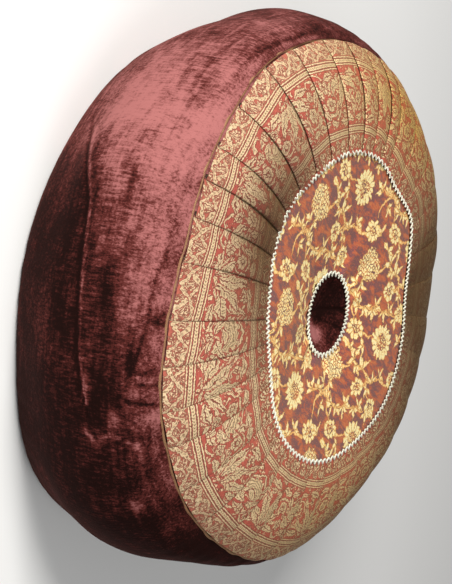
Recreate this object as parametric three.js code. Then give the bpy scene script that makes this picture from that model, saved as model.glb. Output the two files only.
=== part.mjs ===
// Round floor cushion, lying on its back with the patterned face up.
// Millimetres, +Z up. The origin is under the middle of the cushion's box, on the floor.
// A velvet wall and back hold the filling. The face is a pleated brocade ring round a
// flowered disc, with a sunk velvet centre, two wavy braids and a thin piping at the seam.

import * as THREE from 'three';
import { mergeVertices } from 'three/addons/utils/BufferGeometryUtils.js';

const DEG = Math.PI / 180;
const FULL_TURN = 2 * Math.PI;

// Driving dimensions
const SEAM_RADIUS = 270;
const SEAM_HEIGHT = 191;
const CROWN_RISE = 34;
const DISC_RADIUS = 159;
const DIMPLE_RADIUS = 42.5;
const DIMPLE_RISE = 19.5;
const DIMPLE_SHIFT = { x: 9, y: -3 };
const CENTRE_DEPTH = 15;
const WALL_BULGE = 15;
const FOOT_INSET = 12;
const BOX_MIDDLE = { x: -5.48, y: 6.26 };

// Cloth and the gap that keeps neighbouring pieces apart
const CLOTH = 2;
const THIN_CLOTH = 1.5;
const GAP = 0.35;

// Piping at the seam, sunk in a groove between the velvet's lip and the brocade
const PIPING_RADIUS = 1.8;
const PIPING_SINK = 1.4;
const GROOVE = { outer: 1.5, inner: 2.4, depth: 3.8 };

// The two wavy braids, which lie over the cloths' joints on a seat just above them
const BRAID = { width: 5.2, height: 1.7, wave: 1.2, shoulder: 0.7, shoulderHeight: 0.8 };
const BRAID_SEAT = { disc: 1.55, centre: 0.45 };
const SCALLOPS = { disc: 80, centre: 36 };

// How the crown falls away: power of the dome's curve over the ring and of the dip in the disc
const DOME_POWER = 0.8;
const PUFF = { least: 2, power: 1.6 };
const DIP_POWER = 1.8;

// The wall from the floor up. foot and bulge are the shares of those two that a height takes.
const WALL_PROFILE = [
  { height: 0, foot: 1, bulge: 0, lump: 0, inset: 16 },
  { height: 5.4, foot: 1, bulge: 0, lump: 0, inset: 0 },
  { height: 51, foot: 0.42, bulge: 0.58, lump: 0, inset: 0 },
  { height: 83, foot: 0.12, bulge: 0.88, lump: 1, inset: 0 },
  { height: 121, foot: 0, bulge: 1, lump: 1, inset: 0 },
  { height: 159, foot: 0, bulge: 0.8, lump: 0.5, inset: 0 },
  { height: 177.5, foot: 0, bulge: 0.5, lump: 0, inset: 0 },
];

// Pleats of the ring. Those that show stand where they were sewn, the rest are spread evenly.
const SHOWN_PLEATS = [
  202, 191.5, 177.8, 163.5, 151, 139.8, 128, 118, 110.7, 103, 94, 82.6, 73.8, 65, 57.5, 46.5, 35.4, 26, 16.3,
].map((degrees) => -degrees);
const EVEN_PLEATS = 15;
const PLEAT_RISE = { ends: 0.9, middle: 1.5 };

// How the hand-made outline strays from a true circle.
// Each row is a soft swelling: where it is, how far it spreads and what it adds there.
const SWELLINGS = [
  { at: 120, spread: 55, seam: 17, bulge: 3, foot: 0, puff: 7 },
  { at: 210, spread: 70, seam: 0, bulge: 9, foot: 0, puff: 0 },
  { at: 240, spread: 45, seam: -4, bulge: 0, foot: -13, puff: 0 },
  { at: 317, spread: 28, seam: 9, bulge: 24, foot: 2, puff: 0 },
  { at: 335, spread: 35, seam: 0, bulge: 0, foot: 11, puff: 0 },
];
const DISC_SWELLINGS = [
  { at: 242, spread: 14, edge: 11 },
  { at: 296, spread: 18, edge: -9 },
  { at: 58, spread: 20, edge: 10 },
  { at: 101, spread: 15, edge: -11 },
  { at: 130, spread: 9, edge: 8 },
  { at: 153, spread: 10, edge: -5 },
];
const WALL_LUMPS = [
  { waves: 5, turn: 20, size: 1.6 },
  { waves: 9, turn: 75, size: 1.0 },
];

// Facets
const STATIONS = { body: 72, disc: 64, piping: 72, centre: 40 };
const RING_ROWS = 7;
const DISC_ROWS = 5;
const CENTRE_ROWS = 4;
const WALL_ROWS = 12;

// Share of a swelling that is felt at an angle, in radians.
function share(angle, row) {
  const turns = angle / FULL_TURN - row.at / 360;
  const degreesAway = 360 * (turns - Math.round(turns));
  return Math.exp(-((degreesAway / row.spread) ** 2));
}

function swelling(angle, rows, column) {
  return rows.reduce((sum, row) => sum + row[column] * share(angle, row), 0);
}

const seamRadius = (angle) => SEAM_RADIUS + swelling(angle, SWELLINGS, 'seam');
const discRadius = (angle) => DISC_RADIUS + swelling(angle, DISC_SWELLINGS, 'edge');

// Height of the crown over the floor, across the ring: 0 at the disc, 1 at the seam.
function ringHeight(across, angle) {
  const inside = Math.min(Math.max(across, 0), 1);
  const dome = Math.cos(inside * Math.PI / 2) ** DOME_POWER;
  const puff = PUFF.least + swelling(angle, SWELLINGS, 'puff');
  const lift = puff * Math.sin(Math.PI * inside ** PUFF.power);
  return SEAM_HEIGHT + CROWN_RISE * dome + lift;
}

// Height of the crown across the disc: 0 at the dimple, 1 at the ring.
function discHeight(across) {
  const drop = (1 - across) ** DIP_POWER;
  return SEAM_HEIGHT + CROWN_RISE - (CROWN_RISE - DIMPLE_RISE) * drop;
}

// Depth of the sunk centre: 0 in its middle, 1 at its edge.
function centreHeight(across) {
  return SEAM_HEIGHT + DIMPLE_RISE - CENTRE_DEPTH * (1 - across ** 2);
}

// A point of the disc. Its circles slide from the ring's middle to the dimple's.
function discPlace(across, angle) {
  const radius = DIMPLE_RADIUS + (discRadius(angle) - DIMPLE_RADIUS) * across;
  const shift = 1 - across;
  return {
    x: radius * Math.cos(angle) + DIMPLE_SHIFT.x * shift,
    y: radius * Math.sin(angle) + DIMPLE_SHIFT.y * shift,
  };
}

function ringPlace(across, angle) {
  const radius = discRadius(angle) + (seamRadius(angle) - discRadius(angle)) * across;
  return { x: radius * Math.cos(angle), y: radius * Math.sin(angle) };
}

// Drops the triangles that have shrunk to a line at the axis.
function withoutSlivers(geometry) {
  const index = geometry.getIndex().array;
  const kept = [];
  for (let i = 0; i < index.length; i += 3) {
    const [a, b, c] = [index[i], index[i + 1], index[i + 2]];
    if (a !== b && b !== c && c !== a) kept.push(a, b, c);
  }
  geometry.setIndex(kept);
  return geometry;
}

// A turned solid whose section may change from station to station.
// sectionAt gives the section's points, counterclockwise seen with the axis on the left.
function turned(angles, sectionAt) {
  const outline = sectionAt(angles[0]).map(() => new THREE.Vector2(1, 0));
  const geometry = new THREE.LatheGeometry(outline, angles.length);
  const position = geometry.getAttribute('position');
  for (let station = 0; station <= angles.length; station += 1) {
    const section = sectionAt(angles[station % angles.length]);
    section.forEach((point, row) => {
      position.setXYZ(station * section.length + row, point.x, point.y, point.z);
    });
  }
  geometry.deleteAttribute('normal');
  geometry.deleteAttribute('uv');
  const merged = withoutSlivers(mergeVertices(geometry, 1e-3));
  merged.computeVertexNormals();
  return merged;
}

function evenAngles(count) {
  return Array.from({ length: count }, (_, i) => FULL_TURN * i / count);
}

function polar(radius, angle, z) {
  return { x: radius * Math.cos(angle), y: radius * Math.sin(angle), z };
}

// The velvet wall from the floor to its lip at the seam, as radius and height.
function wallSection(angle) {
  const seam = seamRadius(angle);
  const bulge = WALL_BULGE + swelling(angle, SWELLINGS, 'bulge');
  const foot = swelling(angle, SWELLINGS, 'foot') - FOOT_INSET;
  const lump = WALL_LUMPS.reduce(
    (sum, wave) => sum + wave.size * Math.sin(wave.waves * (angle - wave.turn * DEG)), 0);
  const points = WALL_PROFILE.map((row) => new THREE.Vector2(
    seam + row.foot * foot + row.bulge * bulge + row.lump * lump - row.inset, row.height));
  points.push(new THREE.Vector2(seam + PIPING_RADIUS + 2 * GAP, SEAM_HEIGHT - PIPING_SINK));
  const side = new THREE.SplineCurve(points);
  return side.getPoints(WALL_ROWS).map((point) => polar(point.x, angle, Math.max(point.y, 0)));
}

// The filled body: flat back, puffed wall, and a top that lies just under the face's cloth.
function bodySection(angle) {
  const seam = seamRadius(angle);
  const under = CLOTH + GAP;
  const section = [{ x: 0, y: 0, z: 0 }];
  section.push(...wallSection(angle));
  section.push(polar(seam + GROOVE.outer, angle, SEAM_HEIGHT - GROOVE.depth));
  section.push(polar(seam - GROOVE.inner, angle, SEAM_HEIGHT - GROOVE.depth));
  for (let row = RING_ROWS - 1; row >= 0; row -= 1) {
    const across = ringAcross(row, angle);
    section.push({ ...ringPlace(across, angle), z: ringHeight(across, angle) - under });
  }
  for (let row = DISC_ROWS - 2; row >= 0; row -= 1) {
    const across = row / (DISC_ROWS - 1);
    section.push({ ...discPlace(across, angle), z: discHeight(across) - under });
  }
  for (let row = CENTRE_ROWS - 1; row >= 0; row -= 1) {
    const across = row / CENTRE_ROWS;
    section.push({ ...centrePlace(across, angle), z: centreHeight(across) - CLOTH - 2 * GAP });
  }
  return section;
}

// Rows of the ring, from the disc to the piping.
function ringAcross(row, angle) {
  const width = seamRadius(angle) - discRadius(angle);
  const first = GAP / width;
  const last = 1 - (PIPING_RADIUS + GAP) / width;
  return first + (last - first) * row / (RING_ROWS - 1);
}

function centrePlace(across, angle) {
  const radius = DIMPLE_RADIUS * across;
  return {
    x: radius * Math.cos(angle) + DIMPLE_SHIFT.x,
    y: radius * Math.sin(angle) + DIMPLE_SHIFT.y,
  };
}

// Folded edges of the pleats, as angles that grow all the way round.
function pleatEdges() {
  const first = SHOWN_PLEATS[0] + 360;
  const last = SHOWN_PLEATS[SHOWN_PLEATS.length - 1];
  const step = (first - last) / (EVEN_PLEATS + 1);
  const even = Array.from({ length: EVEN_PLEATS }, (_, i) => last + step * (i + 1));
  return [...SHOWN_PLEATS, ...even].map((degrees) => degrees * DEG);
}

// Stations of the ring. Each pleat climbs slowly to its folded edge and drops there.
const PLEAT_STEPS = [
  { along: 0.04, rise: 0 },
  { along: 0.5, rise: 0.55 },
  { along: 0.86, rise: 1 },
  { along: 0.985, rise: 0.9 },
];

function ringStations() {
  const edges = pleatEdges();
  return edges.flatMap((edge, i) => {
    const next = i + 1 < edges.length ? edges[i + 1] : edges[0] + FULL_TURN;
    return PLEAT_STEPS.map((step) => ({ angle: edge + (next - edge) * step.along, rise: step.rise }));
  });
}

function ringGeometry() {
  const stations = ringStations();
  const riseAt = new Map(stations.map((station) => [station.angle, station.rise]));
  const sectionAt = (angle) => {
    const under = [];
    const over = [];
    for (let row = 0; row < RING_ROWS; row += 1) {
      const across = ringAcross(row, angle);
      const place = ringPlace(across, angle);
      const height = ringHeight(across, angle);
      const pleat = PLEAT_RISE.ends + PLEAT_RISE.middle * Math.sin(Math.PI * across);
      under.push({ ...place, z: height - CLOTH });
      over.push({ ...place, z: height + pleat * riseAt.get(angle) });
    }
    return [...under, ...over.reverse(), under[0]];
  };
  return turned(stations.map((station) => station.angle), sectionAt);
}

function discGeometry() {
  const inset = GAP / (DISC_RADIUS - DIMPLE_RADIUS);
  const sectionAt = (angle) => {
    const under = [];
    const over = [];
    for (let row = 0; row < DISC_ROWS; row += 1) {
      const across = inset + (1 - 2 * inset) * row / (DISC_ROWS - 1);
      const place = discPlace(across, angle);
      under.push({ ...place, z: discHeight(across) - CLOTH });
      over.push({ ...place, z: discHeight(across) - CLOTH + THIN_CLOTH });
    }
    return [...under, ...over.reverse(), under[0]];
  };
  return turned(evenAngles(STATIONS.disc), sectionAt);
}

function centreGeometry() {
  const sectionAt = (angle) => {
    const under = [];
    const over = [];
    for (let row = 0; row <= CENTRE_ROWS; row += 1) {
      const across = Math.min(row / CENTRE_ROWS, 1 - 2 * GAP / DIMPLE_RADIUS);
      const place = centrePlace(across, angle);
      under.push({ ...place, z: centreHeight(across) - CLOTH });
      over.push({ ...place, z: centreHeight(across) });
    }
    return [...under, ...over.reverse()];
  };
  return turned(evenAngles(STATIONS.centre), sectionAt);
}

function pipingGeometry() {
  const sides = 6;
  const sectionAt = (angle) => Array.from({ length: sides + 1 }, (_, i) => {
    const around = FULL_TURN * (i % sides) / sides;
    const radius = seamRadius(angle) + PIPING_RADIUS * Math.cos(around);
    return polar(radius, angle, SEAM_HEIGHT - PIPING_SINK + PIPING_RADIUS * Math.sin(around));
  });
  return turned(evenAngles(STATIONS.piping), sectionAt);
}

// A flat braid with a wavy line, laid over the joint of two cloths.
function braidGeometry(scallops, placeAt, heightAt) {
  const stations = Array.from({ length: 2 * scallops }, (_, i) => FULL_TURN * i / (2 * scallops));
  const half = BRAID.width / 2;
  const shape = [
    { out: -half, up: 0 },
    { out: half, up: 0 },
    { out: BRAID.shoulder * half, up: BRAID.shoulderHeight },
    { out: 0, up: 1 },
    { out: -BRAID.shoulder * half, up: BRAID.shoulderHeight },
  ];
  const sectionAt = (angle) => {
    const station = Math.round(angle * scallops / Math.PI);
    const wave = station % 2 === 0 ? BRAID.wave : -BRAID.wave;
    const points = shape.map(({ out, up }) => {
      const place = placeAt(angle);
      const outward = out + wave;
      return {
        x: place.x + outward * Math.cos(angle),
        y: place.y + outward * Math.sin(angle),
        z: heightAt(outward) + up * BRAID.height,
      };
    });
    return [...points, points[0]];
  };
  return turned(stations, sectionAt);
}

function discBraidGeometry() {
  const seat = SEAM_HEIGHT + CROWN_RISE + BRAID_SEAT.disc;
  return braidGeometry(SCALLOPS.disc, (angle) => discPlace(1, angle), () => seat);
}

function centreBraidGeometry() {
  const slope = (CROWN_RISE - DIMPLE_RISE) * DIP_POWER / (DISC_RADIUS - DIMPLE_RADIUS);
  const seat = SEAM_HEIGHT + DIMPLE_RISE + BRAID_SEAT.centre;
  const heightAt = (outward) => seat + Math.max(outward, 0) * slope;
  return braidGeometry(SCALLOPS.centre, (angle) => discPlace(0, angle), heightAt);
}

function bodyGeometry() {
  return turned(evenAngles(STATIONS.body), bodySection);
}

function piece(name, geometry, colour, roughness) {
  const material = new THREE.MeshStandardMaterial({ color: colour, roughness, metalness: 0 });
  const mesh = new THREE.Mesh(geometry, material);
  mesh.name = name;
  return mesh;
}

const cushion = new THREE.Group();
cushion.position.set(-BOX_MIDDLE.x, -BOX_MIDDLE.y, 0);
cushion.add(
  piece('velvet_body', bodyGeometry(), 0x5a1f24, 0.85),
  piece('brocade_ring', ringGeometry(), 0xb98a58, 0.6),
  piece('flower_disc', discGeometry(), 0xa8542f, 0.75),
  piece('centre_velvet', centreGeometry(), 0x3a1216, 0.9),
  piece('seam_piping', pipingGeometry(), 0x9a6a3a, 0.6),
  piece('disc_braid', discBraidGeometry(), 0xe6e0cc, 0.7),
  piece('centre_braid', centreBraidGeometry(), 0xe6e0cc, 0.7),
);

export default cushion;
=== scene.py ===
"""Round floor cushion: velvet wall and back, pleated brocade ring, flowered disc and sunk velvet centre.

The cushion lies on its back on a pale floor. Sizes are metres and angles are degrees unless a name
says otherwise. Pattern sizes on cloth are millimetres, because that is how a weaver counts them.
"""

import logging
import math
from dataclasses import dataclass, field
from enum import Enum
from functools import partialmethod
from typing import ClassVar, Optional, Sequence, Union

import bpy
import numpy as np
from mathutils import Matrix, Vector


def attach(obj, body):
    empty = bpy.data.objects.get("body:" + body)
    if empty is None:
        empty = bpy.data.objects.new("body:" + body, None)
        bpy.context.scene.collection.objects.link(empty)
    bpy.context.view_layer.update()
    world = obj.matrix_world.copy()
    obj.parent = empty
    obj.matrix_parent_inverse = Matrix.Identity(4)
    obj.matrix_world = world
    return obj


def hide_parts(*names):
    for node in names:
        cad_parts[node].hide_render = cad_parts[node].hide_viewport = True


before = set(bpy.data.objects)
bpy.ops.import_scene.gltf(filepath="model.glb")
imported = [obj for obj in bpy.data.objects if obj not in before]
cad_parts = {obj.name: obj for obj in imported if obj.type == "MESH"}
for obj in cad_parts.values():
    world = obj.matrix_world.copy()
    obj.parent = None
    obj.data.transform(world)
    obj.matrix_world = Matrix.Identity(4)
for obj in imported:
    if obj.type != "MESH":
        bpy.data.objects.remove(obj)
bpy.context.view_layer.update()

LOG = logging.getLogger("cushion")
FULL_TURN = 2 * math.pi
MM = 0.001
Array = np.ndarray
Material = bpy.types.Material
Node = bpy.types.Node
Piece = bpy.types.Object
Socket = bpy.types.NodeSocket
Value = Union[float, Socket]
Given = dict[str, Socket]
Made = dict[str, Value]
Pair = tuple[float, float]
Triple = tuple[float, float, float]
Colour = Triple
Pattern = tuple[Value, Value, Value]


class Slot(Enum):
    """Material slots of the record."""

    VELVET = "velvet"
    BROCADE = "brocade"
    FLOWERED = "flowered_cloth"
    PIPING = "piping"
    BRAID = "braid"


# Shape of the cushion


@dataclass(frozen=True)
class Swelling:
    """A soft swelling of the hand-made outline, with what it adds there to each measure."""

    at: float
    spread: float
    seam: float = 0.0
    bulge: float = 0.0
    foot: float = 0.0
    puff: float = 0.0
    edge: float = 0.0

    def share(self, angle: Array) -> Array:
        """Share of the swelling felt at angles in radians, from 0 to 1."""
        return bump(degrees_from(angle, self.at), self.spread)


@dataclass(frozen=True)
class Ripple:
    """A wave round the cushion: its height, how many times it comes round and its phase."""

    high: float
    count: int
    phase: float = 0.0

    def add(self, angle: Array) -> Array:
        """What the wave adds at angles in radians."""
        return self.high * np.sin(self.count * angle + self.phase)


@dataclass(frozen=True)
class WallRow:
    """One height of the wall's section: shares of the foot, bulge and lump that it takes."""

    height: float
    foot: float
    bulge: float
    lump: float = 0.0
    inset: float = 0.0


@dataclass
class CushionShape:
    """The shape that all pieces share: outline, wall section, crown and dimple."""

    seam_radius: float = 0.270
    seam_height: float = 0.191
    crown_rise: float = 0.034
    disc_radius: float = 0.159
    dimple_radius: float = 0.0425
    dimple_rise: float = 0.0195
    dimple_shift: Pair = (0.009, -0.003)
    centre_depth: float = 0.015
    bulge: float = 0.015
    foot_inset: float = 0.012
    seam_roll: float = 0.0012
    lumps: tuple[Ripple, ...] = (
        Ripple(high=0.0016, count=5, phase=math.radians(-100)),
        Ripple(high=0.001, count=9, phase=math.radians(-675)),
    )
    dome_power: float = 0.8
    puff_least: float = 0.002
    puff_power: float = 1.6
    dip_power: float = 1.8
    cloth: float = 0.002
    middle: Pair = (0.00548, -0.00626)
    swellings: tuple[Swelling, ...] = (
        Swelling(at=120, spread=55, seam=0.016, bulge=0.003, puff=0.007),
        Swelling(at=210, spread=70, bulge=0.009),
        Swelling(at=240, spread=45, seam=-0.004, foot=-0.014),
        Swelling(at=317, spread=28, seam=0.009, bulge=0.021, foot=0.002),
        Swelling(at=335, spread=35, foot=0.010),
        Swelling(at=294, spread=20, foot=-0.009),
        Swelling(at=348, spread=18, bulge=-0.005),
        Swelling(at=200, spread=11, bulge=-0.005),
        Swelling(at=22, spread=20, seam=-0.004),
        Swelling(at=58, spread=18, puff=0.004),
        Swelling(at=99, spread=10, puff=-0.003),
        Swelling(at=333, spread=22, seam=-0.0075, bulge=0.0075, foot=0.0075),
        Swelling(at=180, spread=20, seam=-0.0045, bulge=0.0045, foot=0.0045),
        Swelling(at=221, spread=11, seam=0.005, bulge=-0.004, foot=-0.004),
        Swelling(at=293, spread=8, seam=0.004, bulge=-0.004, foot=-0.004),
        Swelling(at=263, spread=13, seam=-0.008, bulge=0.008, foot=0.008),
        Swelling(at=242, spread=14, edge=0.011),
        Swelling(at=296, spread=18, edge=-0.009),
        Swelling(at=58, spread=20, edge=0.010),
        Swelling(at=101, spread=15, edge=-0.011),
        Swelling(at=130, spread=9, edge=0.008),
        Swelling(at=153, spread=10, edge=-0.005),
        Swelling(at=257, spread=9, edge=0.005),
    )
    wall_rows: tuple[WallRow, ...] = (
        WallRow(height=0.0, foot=1, bulge=0, inset=0.016),
        WallRow(height=0.0054, foot=1, bulge=0),
        WallRow(height=0.051, foot=0.42, bulge=0.58),
        WallRow(height=0.083, foot=0.12, bulge=0.88, lump=1),
        WallRow(height=0.121, foot=0, bulge=1, lump=1),
        WallRow(height=0.159, foot=0, bulge=0.8, lump=0.5),
        WallRow(height=0.1775, foot=0, bulge=0.5),
    )

    def swelling(self, angle: Array, measure: str) -> Array:
        """What the swellings add to one measure at angles in radians."""
        return sum(getattr(row, measure) * row.share(angle) for row in self.swellings)

    def seam(self, angle: Array) -> Array:
        """Radius of the seam between velvet and brocade at each angle."""
        return self.seam_radius + self.swelling(angle, "seam")

    def disc(self, angle: Array) -> Array:
        """Radius of the flowered disc's edge at each angle."""
        return self.disc_radius + self.swelling(angle, "edge")

    def ring_point(self, across: Array, angle: Array, lift: Array) -> Array:
        """Points over the ring, on a dome with a puff on it.

        Args:
            across: 0 at the disc and 1 at the seam.
            angle: angles in radians.
            lift: heights over the crown.

        Returns:
            Points, one more axis than angle.
        """
        radius = self.disc(angle) + (self.seam(angle) - self.disc(angle)) * across
        inside = np.clip(across, 0, 1)
        dome = np.cos(inside * math.pi / 2) ** self.dome_power
        puff = self.puff_least + self.swelling(angle, "puff")
        swell = puff * np.sin(math.pi * inside**self.puff_power)
        height = self.seam_height + self.crown_rise * dome + swell + lift
        return self.placed(radius * np.cos(angle), radius * np.sin(angle), height)

    def disc_point(self, across: Array, angle: Array, lift: Array) -> Array:
        """Points over the disc, whose circles slide towards the dimple's middle.

        Args:
            across: 0 at the dimple and 1 at the ring.
            angle: angles in radians.
            lift: heights over the crown.

        Returns:
            Points, one more axis than angle.
        """
        radius = self.dimple_radius + (self.disc(angle) - self.dimple_radius) * across
        shift = 1 - across
        drop = (self.crown_rise - self.dimple_rise) * np.clip(shift, 0, None) ** self.dip_power
        height = self.seam_height + self.crown_rise - drop + lift
        x = radius * np.cos(angle) + self.dimple_shift[0] * shift
        y = radius * np.sin(angle) + self.dimple_shift[1] * shift
        return self.placed(x, y, height)

    def centre_point(self, across: Array, angle: Array, lift: Array) -> Array:
        """Points of the sunk centre.

        Args:
            across: 0 in its middle and 1 at its edge.
            angle: angles in radians.
            lift: heights over the dish.

        Returns:
            Points, one more axis than angle.
        """
        radius = self.dimple_radius * across
        height = self.seam_height + self.dimple_rise - self.centre_depth * (1 - across**2) + lift
        x = radius * np.cos(angle) + self.dimple_shift[0]
        y = radius * np.sin(angle) + self.dimple_shift[1]
        return self.placed(x, y, height)

    def wall_profile(self, along: Array, angle: Array) -> tuple[Array, Array]:
        """Section of the wall from the floor up to the seam.

        Args:
            along: 0 at the floor and 1 at the seam, one value per row.
            angle: one angle per column, in radians.

        Returns:
            Radius and height, each with a row for along and a column for angle.
        """
        seam = self.seam(angle)
        bulge = self.bulge + self.swelling(angle, "bulge")
        foot = self.swelling(angle, "foot") - self.foot_inset
        lump = sum(wave.add(angle) for wave in self.lumps)
        radii = [seam + r.foot * foot + r.bulge * bulge + r.lump * lump - r.inset for r in self.wall_rows]
        heights = [np.full_like(angle, r.height) for r in self.wall_rows]
        radii.append(seam + self.seam_roll)
        heights.append(np.full_like(angle, self.seam_height - self.seam_roll))
        return spline(np.array(radii), along), np.maximum(spline(np.array(heights), along), 0)

    def placed(self, x: Array, y: Array, z: Array) -> Array:
        """Joins coordinates round the face's axis into points of the frame."""
        x, y, z = np.broadcast_arrays(x + self.middle[0], y + self.middle[1], z)
        return np.stack([x, y, z], -1)


def degrees_from(angle: Array, at: float) -> Array:
    """Degrees that lie between angles in radians and a direction in degrees, the short way round."""
    turns = angle / FULL_TURN - at / 360
    return 360 * (turns - np.round(turns))


def bump(away: Array, spread: float, aside: Union[Array, float] = 0.0, wide: float = 1.0) -> Array:
    """A soft bump: 1 where away and aside are 0, falling off over spread and wide."""
    return np.exp(-((away / spread) ** 2) - (aside / wide) ** 2)


def spline(knots: Array, along: Array) -> Array:
    """A smooth curve through evenly timed knots.

    Args:
        knots: one row per knot.
        along: times from 0 to 1, one per row of the result.

    Returns:
        The curve's values, a row for each time.
    """
    last = len(knots) - 1
    time = np.clip(along, 0, 1) * last
    left = np.minimum(time.astype(int), last - 1)
    t = (time - left)[:, None]
    before, after = knots[np.maximum(left - 1, 0)], knots[np.minimum(left + 2, last)]
    start, end = knots[left], knots[left + 1]
    leave, arrive = (end - before) / 2, (after - start) / 2
    cubic = (2 * start - 2 * end + leave + arrive) * t**3
    square = (3 * end - 3 * start - 2 * leave - arrive) * t**2
    return cubic + square + leave * t + start


def smooth(value: Array, low: float, high: float) -> Array:
    """A soft step from 0 at low to 1 at high."""
    t = np.clip((value - low) / (high - low), 0, 1)
    return t * t * (3 - 2 * t)


# Meshes


@dataclass
class Grid:
    """A cloth laid out as rows and columns of points. Its columns run round the cushion."""

    points: Array
    fields: dict[str, Array] = field(default_factory=dict)
    closed_rows: bool = False

    def mesh(self, name: str) -> bpy.types.Mesh:
        """Builds the mesh.

        Args:
            name: the mesh's name.

        Returns:
            A smooth mesh whose float attributes are the grid's fields.
        """
        rows, columns = self.points.shape[:2]
        index = np.arange(rows * columns).reshape(rows, columns)
        index = np.concatenate([index, index[:, :1]], 1)
        if self.closed_rows:
            index = np.concatenate([index, index[:1]], 0)
        faces = np.stack([index[:-1, :-1], index[:-1, 1:], index[1:, 1:], index[1:, :-1]], -1)
        mesh = bpy.data.meshes.new(name)
        mesh.from_pydata(self.points.reshape(-1, 3), [], faces.reshape(-1, 4).tolist())
        for title, values in self.fields.items():
            layer = mesh.attributes.new(title, "FLOAT", "POINT")
            flat = np.broadcast_to(values, (rows, columns)).astype(np.float32).ravel()
            layer.data.foreach_set("value", np.ascontiguousarray(flat))
        mesh.shade_smooth()
        mesh.validate()
        return mesh


def put(name: str, data: bpy.types.ID) -> Piece:
    """Puts a new mesh, light or camera into the scene."""
    item = bpy.data.objects.new(name, data)
    bpy.context.scene.collection.objects.link(item)
    return item


def add_piece(name: str, grid: Grid, node: str, slot: Slot, finish: Material) -> Piece:
    """Puts a piece into the scene, in place of its node.

    Args:
        name: the piece's name.
        grid: its cloth, in the frame's metres.
        node: the frame's node that it stands for.
        slot: its material slot in the record; not used.
        finish: its material.

    Returns:
        The new object.
    """
    mesh = grid.mesh(name)
    piece = put(name, mesh)
    mesh.materials.append(finish)
    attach(piece, "root")
    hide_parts(node)
    return piece


# Shader wiring


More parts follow.
